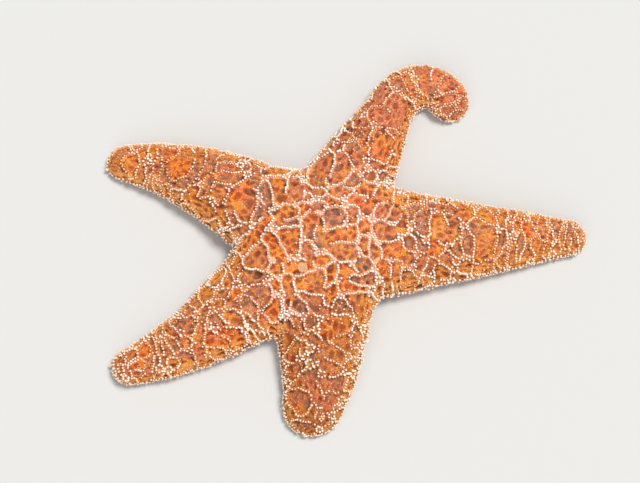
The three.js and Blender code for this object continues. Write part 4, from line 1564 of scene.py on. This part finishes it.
# painted shade: the plate darkens into the troughs of its furrows
sieve_piece.data.materials.append(small_finish(
    "sieve_plate", "furrow", (-0.9, 0.1), (linear(158, 98, 62), linear(226, 178, 132)),
    (0.8, 0.4, 0.65, 0.6, linear(206, 136, 84)), (0.4, 0.5, 0.7), (0.25, 4, 0.12, 0.6)))
n = Nodes("eye_spots")
n.link(n.blend(n.ramp(n.noise(0.4), 0.35, 0.65), linear(150, 24, 18), linear(206, 58, 34)),
       n.shader.inputs["Base Color"])
n.link(n.ramp(n.noise(0.3), 0.3, 0.7, 0.2, 0.35), n.shader.inputs["Roughness"])
eyes.data.materials.append(n.material)
print("finishes:", [material.name for material in bpy.data.materials])

# %% [markdown]
# ## Riding on the frame
#
# Each piece is grouped under the slot its finish belongs to and rides on the frame's body, and the solids
# it stands for are hidden. The one skin takes the place of the disc and of every length of every arm.

# %% Riding, replacing and slots
flesh = [name for name in frame["nodes"] if name == "disc" or name.startswith("arm_")]
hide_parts(*flesh)
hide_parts("mouth")
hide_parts("madreporite")
body = next(iter(frame["bodies"]))
slots = {"skin": [skin_piece, eyes], "spines": coat, "tube_feet": feet_pieces,
         "lips": [mouth_piece], "sieve_plate": [sieve_piece]}
for slot, pieces in slots.items():
    for piece in pieces:
        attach(piece, body)
print("pieces:", sum(len(pieces) for pieces in slots.values()), "for", len(flesh) + 2, "solids")

# %% [markdown]
# ## Stage, light and camera
#
# A pale floor, one soft key light high on the right and a light grey world give the even daylight that
# such an animal is seen in. The key is a sun with a wide disc, so that the floor is lit alike everywhere
# and the shadows stay soft. Lengths here and at the camera are in metres, as Blender takes them.

# %% Stage
FLOOR_HALF = 6.0
floor_mesh = bpy.data.meshes.new("floor")
floor_corners = [(x * FLOOR_HALF, y * FLOOR_HALF, 0) for x, y in ((-1, -1), (1, -1), (1, 1), (-1, 1))]
floor_mesh.from_pydata(floor_corners, [], [(0, 1, 2, 3)])
floor = bpy.data.objects.new("floor", floor_mesh)
bpy.context.scene.collection.objects.link(floor)
floor_nodes = Nodes("floor")
floor_nodes.shader.inputs["Base Color"].default_value = (0.58, 0.575, 0.56, 1)
floor_nodes.shader.inputs["Roughness"].default_value = 0.8
floor_mesh.materials.append(floor_nodes.material)

world = bpy.data.worlds.new("studio")
world.use_nodes = True
world.node_tree.nodes["Background"].inputs["Color"].default_value = (0.92, 0.96, 1.0, 1)
world.node_tree.nodes["Background"].inputs["Strength"].default_value = 0.42
bpy.context.scene.world = world
bpy.context.scene.view_settings.view_transform = "Standard"


def soft_sun(name, azimuth, elevation, width, strength, colour):
    """A sun from a compass direction and height in degrees, with the width of its disc in degrees."""
    data = bpy.data.lights.new(name, "SUN")
    data.energy, data.color, data.angle = strength, colour, math.radians(width)
    light = bpy.data.objects.new(name, data)
    light.rotation_euler = (0, math.radians(90 - elevation), math.radians(azimuth))
    bpy.context.scene.collection.objects.link(light)


soft_sun("key", 35, 66, 20, 3.0, (1.0, 0.98, 0.95))
soft_sun("fill", 250, 45, 60, 0.9, (0.95, 0.97, 1.0))
lights = [thing.name for thing in bpy.data.objects if thing.type == "LIGHT"]
print("lights:", lights, "on a floor", 2 * FLOOR_HALF, "m wide")

# %% [markdown]
# ## Camera
#
# The camera looks steeply down from the side where the lower arm points. The lens follows from how wide
# a strip it takes in at its distance.

# %% Camera
ELEVATION = math.radians(76)
DISTANCE = 0.8
VIEW_WIDTH = 0.3552  # what the render's width takes in at that distance
TARGET_HEIGHT = 20.0  # millimetres, about the middle of the body's height
AIM_RIGHT, AIM_UP = 0.00056, -0.0019  # the render's middle, from the middle of the disc
camera_data = bpy.data.cameras.new("camera")
camera_data.sensor_width = 36
camera_data.lens = camera_data.sensor_width * DISTANCE / VIEW_WIDTH
camera = bpy.data.objects.new("camera", camera_data)
back = np.array([0, -math.cos(ELEVATION), math.sin(ELEVATION)])
up = np.array([0, math.sin(ELEVATION), math.cos(ELEVATION)])
aim = np.array([*MIDDLE, TARGET_HEIGHT]) * MM + AIM_RIGHT * np.array([1, 0, 0]) + AIM_UP * up
camera.location = aim + DISTANCE * back
camera.rotation_euler = (math.pi / 2 - ELEVATION, 0, 0)
bpy.context.scene.collection.objects.link(camera)
bpy.context.scene.camera = camera
print("lens in millimetres:", round(camera_data.lens, 1))

# %% [markdown]
